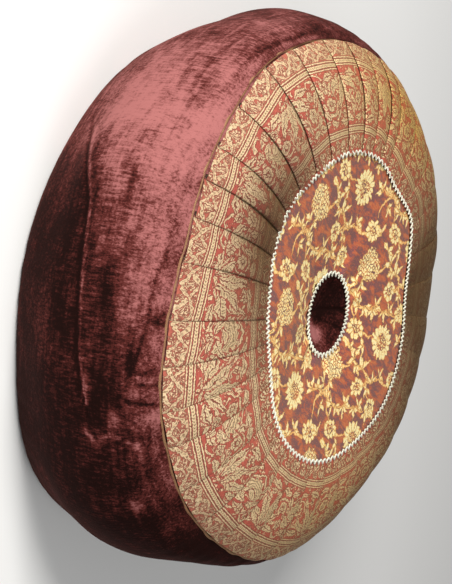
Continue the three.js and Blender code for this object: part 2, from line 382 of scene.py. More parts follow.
class Wiring:
    """Adds nodes to one shader tree and joins them."""

    def __init__(self, tree: bpy.types.NodeTree) -> None:
        """Starts on a tree."""
        self.tree = tree

    def add(self, kind: str, **settings: object) -> Node:
        """Adds one node.

        Args:
            kind: the node's Blender type.
            settings: its properties.

        Returns:
            The node.
        """
        node = self.tree.nodes.new(kind)
        for name, value in settings.items():
            setattr(node, name, value)
        return node

    def feed(self, socket: Socket, value: object) -> None:
        """Joins a value to an input, as a link or as its setting."""
        if isinstance(value, Socket):
            self.tree.links.new(value, socket)
        elif isinstance(value, tuple) and socket.type == "RGBA":
            socket.default_value = (*value, 1.0)
        else:
            socket.default_value = value

    def fill(self, node: Node, **values: object) -> Node:
        """Feeds a node's inputs.

        Args:
            node: the node.
            values: its inputs, with spaces in their names written as underscores.

        Returns:
            The same node.
        """
        for name, value in values.items():
            self.feed(node.inputs[name.replace("_", " ")], value)
        return node

    def math(self, operation: str, *values: Value) -> Socket:
        """One sum on numbers.

        Args:
            operation: the Math node's operation.
            values: its inputs in order.

        Returns:
            The result.
        """
        node = self.add("ShaderNodeMath", operation=operation)
        for socket, value in zip(node.inputs, values):
            self.feed(socket, value)
        return node.outputs[0]

    # The commonest sums under short names. The result of scaled is first * second + third.
    times = partialmethod(math, "MULTIPLY")
    scaled = partialmethod(math, "MULTIPLY_ADD")
    plus = partialmethod(math, "ADD")
    minus = partialmethod(math, "SUBTRACT")
    over = partialmethod(math, "DIVIDE")
    least = partialmethod(math, "MINIMUM")
    abs = partialmethod(math, "ABSOLUTE")

    def vector(self, operation: str, *values: object) -> Socket:
        """One sum on vectors, in the manner of math."""
        node = self.add("ShaderNodeVectorMath", operation=operation)
        for socket, value in zip(node.inputs, values):
            self.feed(socket, value)
        return node.outputs[0]

    def join(self, x: Value, y: Value) -> Socket:
        """A flat vector from its two numbers."""
        return self.fill(self.add("ShaderNodeCombineXYZ"), X=x, Y=y).outputs[0]

    def split(self, vector: Socket) -> tuple[Socket, Socket]:
        """The two numbers of a flat vector."""
        node = self.fill(self.add("ShaderNodeSeparateXYZ"), Vector=vector)
        return node.outputs[0], node.outputs[1]

    def turned(self, vector: Socket, angle: Value) -> Socket:
        """A flat vector turned by an angle in radians."""
        node = self.add("ShaderNodeVectorRotate", rotation_type="Z_AXIS")
        return self.fill(node, Vector=vector, Angle=angle).outputs[0]

    def mix(self, share: Value, start: object, end: object, blend: str = "MIX") -> Socket:
        """Blends two colours.

        Args:
            share: 0 for start and 1 for end.
            start: first colour.
            end: second colour.
            blend: the way of blending.

        Returns:
            The colour.
        """
        node = self.add("ShaderNodeMix", data_type="RGBA", blend_type=blend)
        for key, value in ((0, share), (6, start), (7, end)):
            self.feed(node.inputs[key], value)
        return node.outputs[2]

    def blend(self, share: Value, start: Value, end: Value) -> Socket:
        """Blends two numbers by share."""
        node = self.add("ShaderNodeMix", data_type="FLOAT")
        for key, value in ((0, share), (2, start), (3, end)):
            self.feed(node.inputs[key], value)
        return node.outputs[0]

    def step(self, value: Value, low: float, high: float, start: float = 0.0, end: float = 1.0) -> Socket:
        """A soft step of a number.

        Args:
            value: the number.
            low: where the step starts.
            high: where it ends.
            start: the result below low.
            end: the result above high.

        Returns:
            The result.
        """
        node = self.add("ShaderNodeMapRange", interpolation_type="SMOOTHSTEP")
        for key, setting in enumerate((value, low, high, start, end)):
            self.feed(node.inputs[key], setting)
        return node.outputs[0]

    def noise(
        self, vector: Socket, scale: Union[float, Triple], detail: float, rough: float, twist: float = 0.0,
    ) -> Socket:
        """A cloud of noise.

        Args:
            vector: where it is read.
            scale: its fineness, the same each way or its own for each way.
            detail: how many finer clouds are laid over it.
            rough: how strong those are.
            twist: how far it distorts itself.

        Returns:
            Values round one half.
        """
        if isinstance(scale, tuple):
            vector, scale = self.vector("MULTIPLY", vector, scale), 1.0
        node = self.add("ShaderNodeTexNoise")
        self.fill(node, Vector=vector, Scale=scale, Detail=detail, Roughness=rough, Distortion=twist)
        return node.outputs["Fac"]

    def drift(self, place: Socket, scale: float, reach: float) -> Socket:
        """Moves a place about at random over its plane.

        Args:
            place: the place.
            scale: how fine the movement is.
            reach: how far apart the farthest movements lie.

        Returns:
            The moved place.
        """
        node = self.fill(self.add("ShaderNodeTexNoise"), Vector=place, Scale=scale, Detail=1.0)
        away = self.vector("SUBTRACT", node.outputs["Color"], (0.5, 0.5, 0.5))
        return self.vector("ADD", place, self.vector("MULTIPLY", away, (reach, reach, 0.0)))

    def cells(self, x: Socket, y: Socket, scale: float, chance: float) -> Socket:
        """Irregular cells side by side.

        Args:
            x: first coordinate.
            y: second coordinate.
            scale: their fineness.
            chance: how irregular they are, up to 1.

        Returns:
            Distance from the nearest edge of a cell.
        """
        node = self.add("ShaderNodeTexVoronoi", feature="DISTANCE_TO_EDGE", voronoi_dimensions="2D")
        self.fill(node, Vector=self.join(x, y), Scale=scale, Randomness=chance)
        return node.outputs["Distance"]

    def attribute(self, name: str) -> Socket:
        """A float field of the mesh."""
        return self.add("ShaderNodeAttribute", attribute_name=name).outputs["Fac"]

    def place(self) -> Socket:
        """The point's place in the cushion's own frame."""
        return self.add("ShaderNodeTexCoord").outputs["Object"]

    def group(self, tree: bpy.types.NodeTree, **values: object) -> Node:
        """Puts a node group into the tree, with its inputs as fill takes them."""
        return self.fill(self.add("ShaderNodeGroup", node_tree=tree), **values)


class Effect:
    """A shader node group that materials share. It is built once and found by its class's name.

    A motif's group gives the depth inside the motif and a coordinate that runs across its ribs.
    """

    inputs: dict[str, object] = {}
    outputs: tuple[str, ...] = ("Depth", "Rib")
    KINDS = {float: "NodeSocketFloat", tuple: "NodeSocketVector"}

    @classmethod
    def tree(cls) -> bpy.types.NodeTree:
        """Finds the group, or builds it the first time.

        Returns:
            The node group.
        """
        if found := bpy.data.node_groups.get(cls.__name__):
            return found
        tree = bpy.data.node_groups.new(cls.__name__, "ShaderNodeTree")
        for name, default in cls.inputs.items():
            socket = tree.interface.new_socket(name, in_out="INPUT", socket_type=cls.KINDS[type(default)])
            socket.default_value = default
        for name in cls.outputs:
            tree.interface.new_socket(name, in_out="OUTPUT", socket_type=cls.KINDS[float])
        net = Wiring(tree)
        source = net.add("NodeGroupInput").outputs
        results = cls.build(net, {name: source[name] for name in cls.inputs})
        sink = net.add("NodeGroupOutput").inputs
        for name, value in results.items():
            net.feed(sink[name], value)
        return tree

    @classmethod
    def build(cls, net: Wiring, given: Given) -> Made:
        """Wires the group.

        Args:
            net: the group's wiring.
            given: the group's inputs.

        Returns:
            The group's outputs.
        """
        raise NotImplementedError


def laid(net: Wiring, given: Given) -> tuple[Socket, Socket]:
    """Takes cloth coordinates to a motif's own: moved to its middle, repeated and turned.

    Args:
        net: the group's wiring.
        given: the group's inputs Cloth, Middle, High, Low and Turn.

    Returns:
        Coordinates along and across the motif, in millimetres.
    """
    moved = net.vector("SUBTRACT", given["Cloth"], given["Middle"])
    wrapped = net.vector("WRAP", moved, given["High"], given["Low"])
    return net.split(net.turned(wrapped, given["Turn"]))


def polar(net: Wiring, x: Socket, y: Socket) -> tuple[Socket, Socket]:
    """Distance from the middle and angle round it."""
    square = net.scaled(x, x, net.times(y, y))
    return net.math("SQRT", square), net.math("ARCTAN2", y, x)


def lobes(net: Wiring, angle: Socket) -> Socket:
    """Petals in a ring: 1 in the middle of each and 0 between them."""
    return net.abs(net.math("COSINE", angle))


def rim(net: Wiring, lobe: Socket, power: float, more: float, least: float) -> Socket:
    """Share of the radius that petals reach: least between them and more on top of it at their tips."""
    return net.scaled(net.math("POWER", lobe, power), more, least)


# Width of a rib, and a depth that no motif reaches, in millimetres.
RIB = 3.0
DEEP = 9.0
MOTIF_INPUTS = {
    "Cloth": (0.0, 0.0, 0.0),
    "Middle": (0.0, 0.0, 0.0),
    "High": (900.0, 900.0, 1.0),
    "Low": (-900.0, -900.0, -1.0),
    "Turn": 0.0,
}
PATTERN_OUTPUTS = ("Depth", "Rib", "Tone")


class Leaf(Effect):
    """A leaf with slanting ribs that end in teeth. Depth is how far inside its edge a point lies."""

    inputs = {**MOTIF_INPUTS, "Length": 20.0, "Width": 7.0, "Bend": 0.0, "Teeth": 0.25, "Vein": 0.3}
    HALF_WIDTH = 0.52
    TAPER = -0.35
    RIB_SLANT = -0.8

    @classmethod
    def build(cls, net: Wiring, given: Given) -> Made:
        """Wires a leaf along its own axis, bent by a parabola."""
        x, straight = laid(net, given)
        bow = net.times(net.times(x, x), given["Bend"])
        side = net.abs(net.minus(straight, bow))
        share = net.over(x, given["Length"])
        round_end = net.math("SINE", net.scaled(share, math.pi, math.pi / 2))
        lean = net.scaled(share, cls.TAPER, cls.HALF_WIDTH)
        full = net.times(net.times(round_end, lean), given["Width"])
        slant = net.scaled(side, cls.RIB_SLANT, x)
        tooth = net.math("PINGPONG", slant, RIB / 2)
        notch = net.scaled(tooth, 2 / RIB, -1.0)
        half = net.times(net.scaled(notch, given["Teeth"], 1.0), full)
        edge = net.minus(half, side)
        ends = net.minus(net.times(given["Length"], 0.5), net.abs(x))
        vein = net.minus(side, given["Vein"])
        depth = net.least(net.least(edge, ends), vein)
        return {"Depth": depth, "Rib": slant}


class Sprig(Effect):
    """Three pointed leaves that part from one point, the outer two curling away."""

    inputs = {**MOTIF_INPUTS, "Length": 13.0, "Width": 4.6, "Spread": math.radians(40.0)}
    CURL = -0.03
    OUTER = 0.85

    @classmethod
    def build(cls, net: Wiring, given: Given) -> Made:
        """Wires the middle leaf and one outer leaf, which is folded over to make the other."""
        x, y = laid(net, given)
        aside = net.abs(y)
        cosine, sine = net.math("COSINE", given["Spread"]), net.math("SINE", given["Spread"])
        forward = net.scaled(x, cosine, net.times(aside, sine))
        off = net.minus(net.times(aside, cosine), net.times(x, sine))
        curl = net.scaled(net.times(forward, forward), cls.CURL, off)
        shapes = []
        for run, away, share in ((x, aside, 1.0), (forward, net.abs(curl), cls.OUTER)):
            part = net.over(run, net.times(given["Length"], share))
            belly = net.math("SINE", net.times(net.step(part, 0.0, 1.0), math.pi))
            half = net.times(net.times(belly, given["Width"]), 0.5 * share)
            edge = net.minus(half, away)
            left = net.minus(net.times(given["Length"], share), run)
            shapes.append(net.least(edge, net.least(run, left)))
        return {"Depth": net.math("MAXIMUM", *shapes), "Rib": net.plus(x, aside)}


class Blossom(Effect):
    """An open flower of petals round an eye."""

    inputs = {**MOTIF_INPUTS, "Radius": 12.0, "Petals": 9.0}
    EYE = 0.32

    @classmethod
    def build(cls, net: Wiring, given: Given) -> Made:
        """Wires petals by the angle round the eye."""
        reach, angle = polar(net, *laid(net, given))
        lobe = lobes(net, net.times(net.times(angle, given["Petals"]), 0.5))
        edge = net.minus(net.times(rim(net, lobe, 0.5, 0.3, 0.7), given["Radius"]), reach)
        share = net.over(reach, given["Radius"])
        apart = net.scaled(net.times(lobe, reach), 0.5, -0.4)
        past_eye = net.minus(share, cls.EYE)
        eye = net.math("LESS_THAN", past_eye, 0.0)
        petals = net.least(edge, net.scaled(eye, DEEP, apart))
        from_eye = net.times(net.abs(past_eye), given["Radius"])
        gap = net.minus(from_eye, 0.4)
        rib = net.scaled(lobe, -1.2, reach)
        return {"Depth": net.least(petals, gap), "Rib": rib}


class Daisy(Effect):
    """A full flower of narrow pointed petals round a heart of small cells."""

    inputs = {**MOTIF_INPUTS, "Radius": 18.0, "Petals": 14.0, "Squash": 1.0}
    HEART = 0.52
    CELL_HEIGHT = 8.0
    CELL_GAP = -1.5

    @classmethod
    def build(cls, net: Wiring, given: Given) -> Made:
        """Wires the petals by the angle round the heart, and the cells of the heart."""
        x, tall = laid(net, given)
        reach, angle = polar(net, x, net.over(tall, given["Squash"]))
        lobe = lobes(net, net.times(net.times(angle, given["Petals"]), 0.5))
        edge = net.minus(net.times(rim(net, lobe, 0.8, 0.26, 0.76), given["Radius"]), reach)
        petals = net.least(edge, net.times(net.minus(lobe, 0.14), net.times(reach, 0.4)))
        in_heart = net.math("LESS_THAN", net.over(reach, given["Radius"]), cls.HEART)
        grain = net.scaled(net.cells(x, tall, 0.27, 0.8), cls.CELL_HEIGHT, cls.CELL_GAP)
        return {"Depth": net.blend(in_heart, petals, grain), "Rib": lobe}


class Palmette(Effect):
    """A half-open flower seen from its side: a fan of petals over a cup."""

    inputs = {**MOTIF_INPUTS, "Radius": 18.0, "Petals": 9.0}
    CUP = -0.34

    @classmethod
    def build(cls, net: Wiring, given: Given) -> Made:
        """Wires a fan that opens along the motif's own axis."""
        x, y = laid(net, given)
        reach, angle = polar(net, net.scaled(given["Radius"], 0.35, x), y)
        lobe = lobes(net, net.times(angle, given["Petals"]))
        taper = net.math("COSINE", net.times(angle, 0.62))
        whole = net.times(net.times(rim(net, lobe, 0.6, 0.26, 0.74), taper), given["Radius"])
        edge = net.minus(whole, reach)
        fan = net.times(net.minus(1.5, net.abs(angle)), reach)
        past_cup = net.scaled(given["Radius"], cls.CUP, reach)
        cup = net.math("LESS_THAN", past_cup, 0.0)
        apart = net.scaled(net.times(lobe, reach), 0.4, -0.35)
        petals = net.least(edge, net.scaled(cup, DEEP, apart))
        gap = net.minus(net.abs(past_cup), 0.45)
        depth = net.least(net.least(petals, gap), fan)
        return {"Depth": depth, "Rib": net.scaled(lobe, -1.2, reach)}


class Cone(Effect):
    """A flower head like a cone: an egg with its small end along the motif's axis, covered in scales."""

    inputs = {**MOTIF_INPUTS, "Length": 38.0, "Width": 32.0}
    TAPER = -0.55
    BUMPS = 8.0
    SCALE_HEIGHT = 13.0
    SCALE_GAP = -1.5

    @classmethod
    def build(cls, net: Wiring, given: Given) -> Made:
        """Wires the egg and its scales, which are round cells a few millimetres wide."""
        x, y = laid(net, given)
        share = net.over(x, given["Length"])
        wide = net.scaled(share, cls.TAPER, 1.0)
        reach, angle = polar(net, share, net.over(net.over(y, given["Width"]), wide))
        lobe = lobes(net, net.times(angle, cls.BUMPS))
        edge = net.times(net.minus(rim(net, lobe, 0.6, 0.07, 0.45), reach), given["Width"])
        scale = net.scaled(net.cells(x, y, 0.25, 0.6), cls.SCALE_HEIGHT, cls.SCALE_GAP)
        return {"Depth": net.least(edge, scale), "Rib": scale}


class Scroll(Effect):
    """A curled stem: part of a circle that thins towards one end."""

    inputs = {**MOTIF_INPUTS, "Radius": 12.0, "Width": 3.0, "Sweep": 3.0}

    @classmethod
    def build(cls, net: Wiring, given: Given) -> Made:
        """Wires the part circle."""
        x, y = laid(net, given)
        reach, angle = polar(net, x, y)
        thin = net.scaled(net.over(angle, given["Sweep"]), -0.7, 0.65)
        half = net.times(net.times(thin, given["Width"]), 0.6)
        away = net.abs(net.minus(reach, given["Radius"]))
        left = net.minus(net.times(given["Sweep"], 0.5), net.abs(angle))
        ends = net.times(left, given["Radius"])
        depth = net.least(net.minus(half, away), ends)
        return {"Depth": depth, "Rib": net.scaled(angle, given["Radius"], reach)}


class Vine(Effect):
    """A stem that waves along the cloth."""

    inputs = {
        "Cloth": (0.0, 0.0, 0.0), "Level": 0.0, "Sway": 8.0, "Period": 76.0, "Start": 0.0, "Width": 2.5,
    }

    @classmethod
    def build(cls, net: Wiring, given: Given) -> Made:
        """Wires the wave, with its slope taken out of the stem's width."""
        x, y = net.split(given["Cloth"])
        beat = net.over(net.times(x, FULL_TURN), given["Period"])
        phase = net.plus(beat, given["Start"])
        line = net.scaled(net.math("SINE", phase), given["Sway"], given["Level"])
        rise = net.times(net.math("COSINE", phase), given["Sway"])
        slope = net.over(net.times(rise, FULL_TURN), given["Period"])
        length = net.math("SQRT", net.scaled(slope, slope, 1.0))
        away = net.over(net.abs(net.minus(y, line)), length)
        depth = net.minus(net.times(given["Width"], 0.5), away)
        return {"Depth": depth, "Rib": net.plus(x, y)}


class Cover(Effect):
    """Lays one motif over what is already there, with a thin line of ground round it."""

    inputs = {
        "Depth": -1.0, "Rib": 0.0, "Tone": 0.0, "New Depth": -1.0, "New Rib": 0.0, "New Tone": 0.0,
        "Line": 0.7,
    }
    outputs = PATTERN_OUTPUTS

    @classmethod
    def build(cls, net: Wiring, given: Given) -> Made:
        """Wires the choice between the old and the new motif."""
        margin = net.plus(given["New Depth"], given["Line"])
        chosen = net.math("GREATER_THAN", margin, 0.0)
        return {key: net.blend(chosen, given[key], given[f"New {key}"]) for key in cls.outputs}


class Threads(Effect):
    """The fine over and under of woven thread, for relief and tone."""

    inputs = {"Cloth": (0.0, 0.0, 0.0), "Pitch": 0.9}
    outputs = ("Height", "Tone")

    @classmethod
    def build(cls, net: Wiring, given: Given) -> Made:
        """Wires two crossing waves and a slow unevenness of the yarn."""
        x, y = net.split(given["Cloth"])
        waves = [net.math("SINE", net.over(net.times(way, FULL_TURN), given["Pitch"])) for way in (x, y)]
        height = net.scaled(net.times(*waves), 0.5, 0.5)
        stretched = net.vector("MULTIPLY", given["Cloth"], (0.25, 1.8, 1.0))
        slub = net.noise(stretched, 0.9, 3.0, 0.6)
        return {"Height": height, "Tone": slub}


@dataclass(frozen=True)
class Grain:
    """One kind of mark in the pile: its fineness each way, its noise and its strength."""

    scale: Triple
    detail: float
    rough: float
    strength: float
    twist: float = 0.0


class Pile(Effect):
    """The lie of crushed velvet: light where the pile leans over and dark where it stands; its bias also
    holds painted sheen and painted shade.
    """

    inputs = {"Place": (0.0, 0.0, 0.0), "Bias": 0.0}
    outputs = ("Lie", "Height")
    GRAINS = (
        Grain(scale=(20.0, 20.0, 30.0), detail=5.0, rough=0.72, strength=2.3, twist=0.2),
        Grain(scale=(22.0, 22.0, 190.0), detail=3.0, rough=0.65, strength=1.2, twist=0.15),
        Grain(scale=(420.0, 420.0, 60.0), detail=2.0, rough=0.6, strength=1.7),
        Grain(scale=(800.0, 800.0, 420.0), detail=2.0, rough=0.75, strength=1.6),
    )

    @classmethod
    def build(cls, net: Wiring, given: Given) -> Made:
        """Wires broad crush marks, streaks both ways and the fine ribs of the pile."""
        marks = [net.noise(given["Place"], g.scale, g.detail, g.rough, g.twist) for g in cls.GRAINS]
        lean = given["Bias"]
        for grain, mark in zip(cls.GRAINS, marks):
            lean = net.scaled(net.minus(mark, 0.5), grain.strength, lean)
        height = net.scaled(marks[2], 0.6, net.times(marks[3], 0.4))
        return {"Lie": net.step(lean, -1.05, 1.4), "Height": height}


# Finishes


@dataclass(frozen=True)
class Finish:
    """What one kind of cloth, braid or ground looks like."""

    def material(self, name: str) -> Material:
        """Builds the material.

        Args:
            name: the material's name.

        Returns:
            The material.
        """
        material = bpy.data.materials.new(name)
        material.use_nodes = True
        tree = material.node_tree
        self.dress(Wiring(tree), tree.nodes["Principled BSDF"])
        return material

    def dress(self, net: Wiring, shader: Node) -> None:
        """Wires the finish.

        Args:
            net: the material's wiring.
            shader: its Principled shader.
        """
        raise NotImplementedError


def relief(net: Wiring, shader: Node, height: Value, distance: float, strength: float) -> None:
    """Feeds a height to the shader's normal through a Bump node."""
    node = net.add("ShaderNodeBump")
    net.fill(node, Strength=strength, Distance=distance, Height=height)
    net.fill(shader, Normal=node.outputs[0])


@dataclass(frozen=True)
class Motif:
    """One motif of a repeat: which effect draws it, where, and its own values."""

    effect: type[Effect]
    values: dict[str, object]
    tone: float = 1.0


def at(x: float, y: float, turn: float) -> dict[str, object]:
    """A motif's middle in millimetres and its turn in degrees."""
    return {"Middle": (x, y, 0.0), "Turn": -math.radians(turn)}


def leaf(
    x: float, y: float, turn: float, length: float, width: float, bend: float = 0.0, teeth: float = 0.2,
) -> Motif:
    """A leaf whose tip points to turn."""
    size = {"Length": length, "Width": width, "Bend": bend, "Teeth": teeth, "Vein": 0.3 if teeth else 0.0}
    return Motif(Leaf, {**at(x, y, turn), **size})


def blossom(x: float, y: float, radius: float, petals: int) -> Motif:
    """An open flower."""
    return Motif(Blossom, {**at(x, y, 0.0), "Radius": radius, "Petals": float(petals)})


def daisy(x: float, y: float, radius: float, petals: int, squash: float = 1.0, turn: float = 0.0) -> Motif:
    """A full flower with a speckled heart, stretched across its turn by squash."""
    size = {"Radius": radius, "Petals": float(petals), "Squash": squash}
    return Motif(Daisy, {**at(x, y, turn), **size})


def stem(start: Pair, end: Pair, bow: float, width: float = 3.4) -> Motif:
    """A stem from start to end as part of a circle, bowed to its left by a share of its length."""
    run = complex(end[0] - start[0], end[1] - start[1])
    half = abs(run) / 2
    rise = bow * abs(run)
    radius = (half * half + rise * rise) / (2 * abs(rise))
    side = 1j * run / abs(run) * math.copysign(1.0, bow)
    middle = complex(*start) + run / 2 - side * (radius - abs(rise))
    turn = math.degrees(math.atan2(side.imag, side.real))
    sweep = math.degrees(2 * math.asin(min(1.0, half / radius)))
    if abs(rise) > radius:
        sweep = 360 - sweep
    return scroll(middle.real, middle.imag, turn, radius, width, sweep)


def sprig(x: float, y: float, turn: float, length: float) -> Motif:
    """Three leaves that part from one point towards turn."""
    size = {"Length": length * 1.22, "Width": length * 0.4}
    return Motif(Sprig, {**at(x, y, turn), **size}, 0.7)


def palmette(x: float, y: float, turn: float, radius: float, petals: int) -> Motif:
    """A half-open flower that opens towards turn."""
    return Motif(Palmette, {**at(x, y, turn), "Radius": radius, "Petals": float(petals)})


def cone(x: float, y: float, turn: float, length: float, width: float) -> Motif:
    """A scaly flower head whose small end points to turn."""
    return Motif(Cone, {**at(x, y, turn), "Length": length, "Width": width})


def scroll(x: float, y: float, turn: float, radius: float, width: float, sweep: float) -> Motif:
    """A curled stem round x, y, whose middle lies towards turn."""
    size = {"Radius": radius, "Width": width, "Sweep": math.radians(sweep)}
    return Motif(Scroll, {**at(x, y, turn), **size}, 0.0)


def vine(level: float, sway: float, period: float, start: float, width: float) -> Motif:
    """A stem that waves round a level."""
    values = {"Level": level, "Sway": sway, "Period": period, "Start": math.radians(start), "Width": width}
    return Motif(Vine, values, 0.0)


@dataclass
class Repeat:
    """A woven or printed repeat: its motifs, laid one over the other.

    A tile with half sizes repeats as it is. A tile with mirror sizes is folded over at its edges.
    """

    motifs: Sequence[Motif]
    half: Optional[Pair] = None
    mirror: Optional[Pair] = None
    line: float = 0.7

    def wire(self, net: Wiring, cloth: Socket, under: Pattern = (-DEEP, 0.0, 0.0)) -> Pattern:
        """Wires all motifs.

        Args:
            net: the material's wiring.
            cloth: cloth coordinates in millimetres.
            under: depth, rib and tone of what already lies there.

        Returns:
            Depth inside the top motif, its rib coordinate and its tone.
        """
        if self.mirror:
            x, y = net.split(cloth)
            across, up = self.mirror
            cloth = net.join(net.math("PINGPONG", x, across), net.math("PINGPONG", y, up))
        for motif in self.motifs:
            node = net.group(motif.effect.tree(), Cloth=cloth)
            if self.half and "High" in node.inputs:
                wide, tall = self.half
                net.fill(node, High=(wide, tall, 1.0), Low=(-wide, -tall, -1.0))
            net.fill(node, **motif.values)
            over = (node.outputs["Depth"], node.outputs["Rib"], motif.tone)
            under = self.cover(net, under, over, self.line)
        return under

    @staticmethod
    def cover(net: Wiring, under: Pattern, over: Pattern, line: float) -> Pattern:
        """Lays one motif over what is there, with a line of ground round it.

        Args:
            net: the material's wiring.
            under: depth, rib and tone of what lies there.
            over: depth, rib and tone of the motif.
            line: width of the line in millimetres.

        Returns:
            Depth, rib and tone of both.
        """
        node = net.group(Cover.tree(), Line=line)
        for title, old, new in zip(PATTERN_OUTPUTS, under, over):
            net.fill(node, **{title: old, f"New {title}": new})
        return tuple(node.outputs)


@dataclass(frozen=True)
class VelvetFinish(Finish):
    """Crushed wine velvet."""

    deep: Colour = (0.009, 0.0028, 0.0022)
    wine: Colour = (0.085, 0.0175, 0.0145)
    rose: Colour = (0.315, 0.113, 0.107)
    sheen_tint: Colour = (1.0, 0.3, 0.24)
    sheen: float = 0.06
    bias: float = 0.0

    def dress(self, net: Wiring, shader: Node) -> None:
        """Wires the velvet: deep where the pile stands, wine between and rose where it leans over. Through
        the pile's lean, the rose also paints sheen and the deep also paints shade.

        Args:
            net: the material's wiring.
            shader: its Principled shader.
        """
        pile = net.group(Pile.tree(), Place=net.place())
        net.fill(pile, Bias=net.plus(net.attribute("nap_and_painted_light"), self.bias))
        lie = pile.outputs["Lie"]
        low = net.mix(net.step(lie, 0.0, 0.5), self.deep, self.wine)
        colour = net.mix(net.step(lie, 0.35, 1.0), low, self.rose)
        net.fill(
            shader, Base_Color=colour, Roughness=0.8, Specular_IOR_Level=0.03, Sheen_Weight=self.sheen,
            Sheen_Roughness=0.35, Sheen_Tint=self.sheen_tint,
        )
        relief(net, shader, pile.outputs["Height"], 0.0009, 0.7)


@dataclass(frozen=True)
class BrocadeFinish(Finish):
    """Rose red satin closely figured in muted gold thread, with a woven band along each edge."""

    ground: Colour = (0.60, 0.122, 0.086)
    ground_deep: Colour = (0.32, 0.056, 0.042)
    gold: Colour = (0.67, 0.45, 0.235)
    gold_deep: Colour = (0.22, 0.115, 0.055)
    cream: Colour = (1.0, 0.81, 0.51)
    shadow: Colour = (0.11, 0.028, 0.016)
    # Painted shadow in the pleats' tucks and along their folded edges.
    crease: Colour = (0.02, 0.008, 0.005)
    glow: Colour = (1.0, 0.75, 0.25)
    # Painted shade turns the gold brown, and a painted reflection turns it yellow.
    shade_brown: Colour = (0.135, 0.066, 0.045)
    reflection_ochre: Colour = (0.86, 0.70, 0.26)
    faded: Colour = (0.44, 0.235, 0.14)
    wear: float = 0.16
    half_period: float = 66.0
    trellis: float = 23.0
    outer_band: Pair = (17.0, 26.0)
    inner_band: Pair = (88.0, 97.5)
    ribbon_half: float = 1.7
    ribbon_square: float = 0.8
    cord_middle: float = 2.1
    cord_half: float = 0.45

    def undergrowth(self) -> Repeat:
        """Small leaves that fill the ground behind the large motifs."""
        motifs = (
            leaf(4.6, 4.0, 48, 13.5, 6.4, 0.02), leaf(13.4, 8.6, 128, 13.5, 6.4, -0.02),
            leaf(12.8, 2.0, 10, 10.0, 4.8), leaf(3.2, 11.4, 0, 10.0, 4.8),
            blossom(8.6, 12.0, 3.0, 5),
        )
        return Repeat(motifs, mirror=(17.0, 12.4))

    def field_repeat(self) -> Repeat:
        """Fountains of plume leaves, with palmettes and rosettes between them."""
        motifs = (
            vine(41, 9, 132, -90, 3.4), vine(70, 7, 66, 60, 2.4),
            scroll(38, 60, 110, 11, 3.4, 250), scroll(52, 36, -60, 8, 2.8, 230),
            leaf(32, 33.5, 4, 26, 8.0, 0.010), leaf(60, 35, 172, 17, 7.5, -0.01),
            leaf(15, 80, 8, 26, 8.5, -0.012), leaf(35, 79, 172, 20, 8.0, 0.014),
            leaf(52, 79.5, 14, 18, 8.0, -0.02), leaf(25, 66, 74, 24, 9.0, 0.016),
            leaf(48, 70, 128, 16, 7.5, 0.02), leaf(54, 47, 138, 24, 10.0, -0.014),
            leaf(22, 42, 26, 40, 11.0, 0.012), leaf(12, 51, 60, 42, 12.0, -0.010),
            leaf(0, 56, 90, 44, 13.0),
            palmette(66, 58, 90, 22, 9),
            blossom(38, 60, 7.6, 7), blossom(44, 42, 5.8, 6), blossom(14, 71, 4.8, 5),
            blossom(66, 35, 5.0, 5),
        )
        return Repeat(motifs, mirror=(self.half_period, 300.0), line=1.1)

    def inner_border(self) -> Repeat:
        """Small leaves and flowers inside the inner band."""
        motifs = (
            leaf(3.4, 6.0, 60, 12, 5.4, 0.02), leaf(9.4, 12.5, 118, 11, 5.2, -0.02),
            leaf(9.6, 3.0, 150, 9, 4.4, -0.02),
            blossom(0, 13.0, 4.2, 5), blossom(12.0, 7.0, 3.6, 5),
        )
        return Repeat(motifs, mirror=(12.0, 300.0), line=0.6)

    def outer_border(self) -> Repeat:
        """Fans of leaves in the openings of a trellis."""
        motifs = (
            leaf(9.5, 2.6, 18, 10, 5.0, 0.02), leaf(9.5, 14.4, -18, 10, 5.0, -0.02),
            leaf(14.0, 3.4, 60, 9, 5.0, -0.02), leaf(14.0, 13.6, -60, 9, 5.0, 0.02),
            leaf(4.6, 5.4, 118, 9, 5.0, 0.02), leaf(4.6, 11.6, -118, 9, 5.0, -0.02),
            leaf(0, 8.5, 90, 13, 6.5), leaf(23, 8.5, 90, 13, 6.5), leaf(19.0, 5.4, 70, 9, 5.0, 0.02),
            leaf(19.0, 11.6, -70, 9, 5.0, -0.02),
            blossom(11.5, 1.6, 2.6, 5), blossom(11.5, 15.4, 2.6, 5), blossom(0, 8.5, 3.4, 5),
        )
        return Repeat(motifs, mirror=(self.trellis, 300.0), line=0.5)

    def dress(self, net: Wiring, shader: Node) -> None:
        """Wires the strip: its field, the border on each side and the bands between them.

        Args:
            net: the material's wiring.
            shader: its Principled shader.
        """
        along, across = net.attribute("strip_along"), net.attribute("strip_across")
        straight = net.join(along, across)
        cloth = net.drift(net.drift(straight, 0.1, 9.0), 0.42, 3.2)
        weeds = self.undergrowth().wire(net, cloth)
        bare = net.step(net.noise(straight, 0.12, 2.0, 0.6), 0.48, 0.52)
        weeds = (net.scaled(bare, -DEEP, weeds[0]), *weeds[1:])
        pattern = self.field_repeat().wire(net, cloth, weeds)
        inner_cloth = net.vector("SUBTRACT", cloth, (0.0, self.inner_band[1] + 1.0, 0.0))
        in_outer = net.math("LESS_THAN", across, self.outer_band[0])
        in_inner = net.math("GREATER_THAN", across, self.inner_band[1])
        inner = self.inner_border().wire(net, inner_cloth)
        pattern = tuple(net.blend(in_inner, old, new) for old, new in zip(pattern, inner))
        outer = self.ribbons(net, cloth, self.outer_border().wire(net, cloth))
        pattern = tuple(net.blend(in_outer, old, new) for old, new in zip(pattern, outer))
        for edges in (self.outer_band, self.inner_band):
            pattern = self.band(net, along, across, edges, pattern)
        self.shade(net, shader, straight, pattern[0], pattern[1], in_outer)

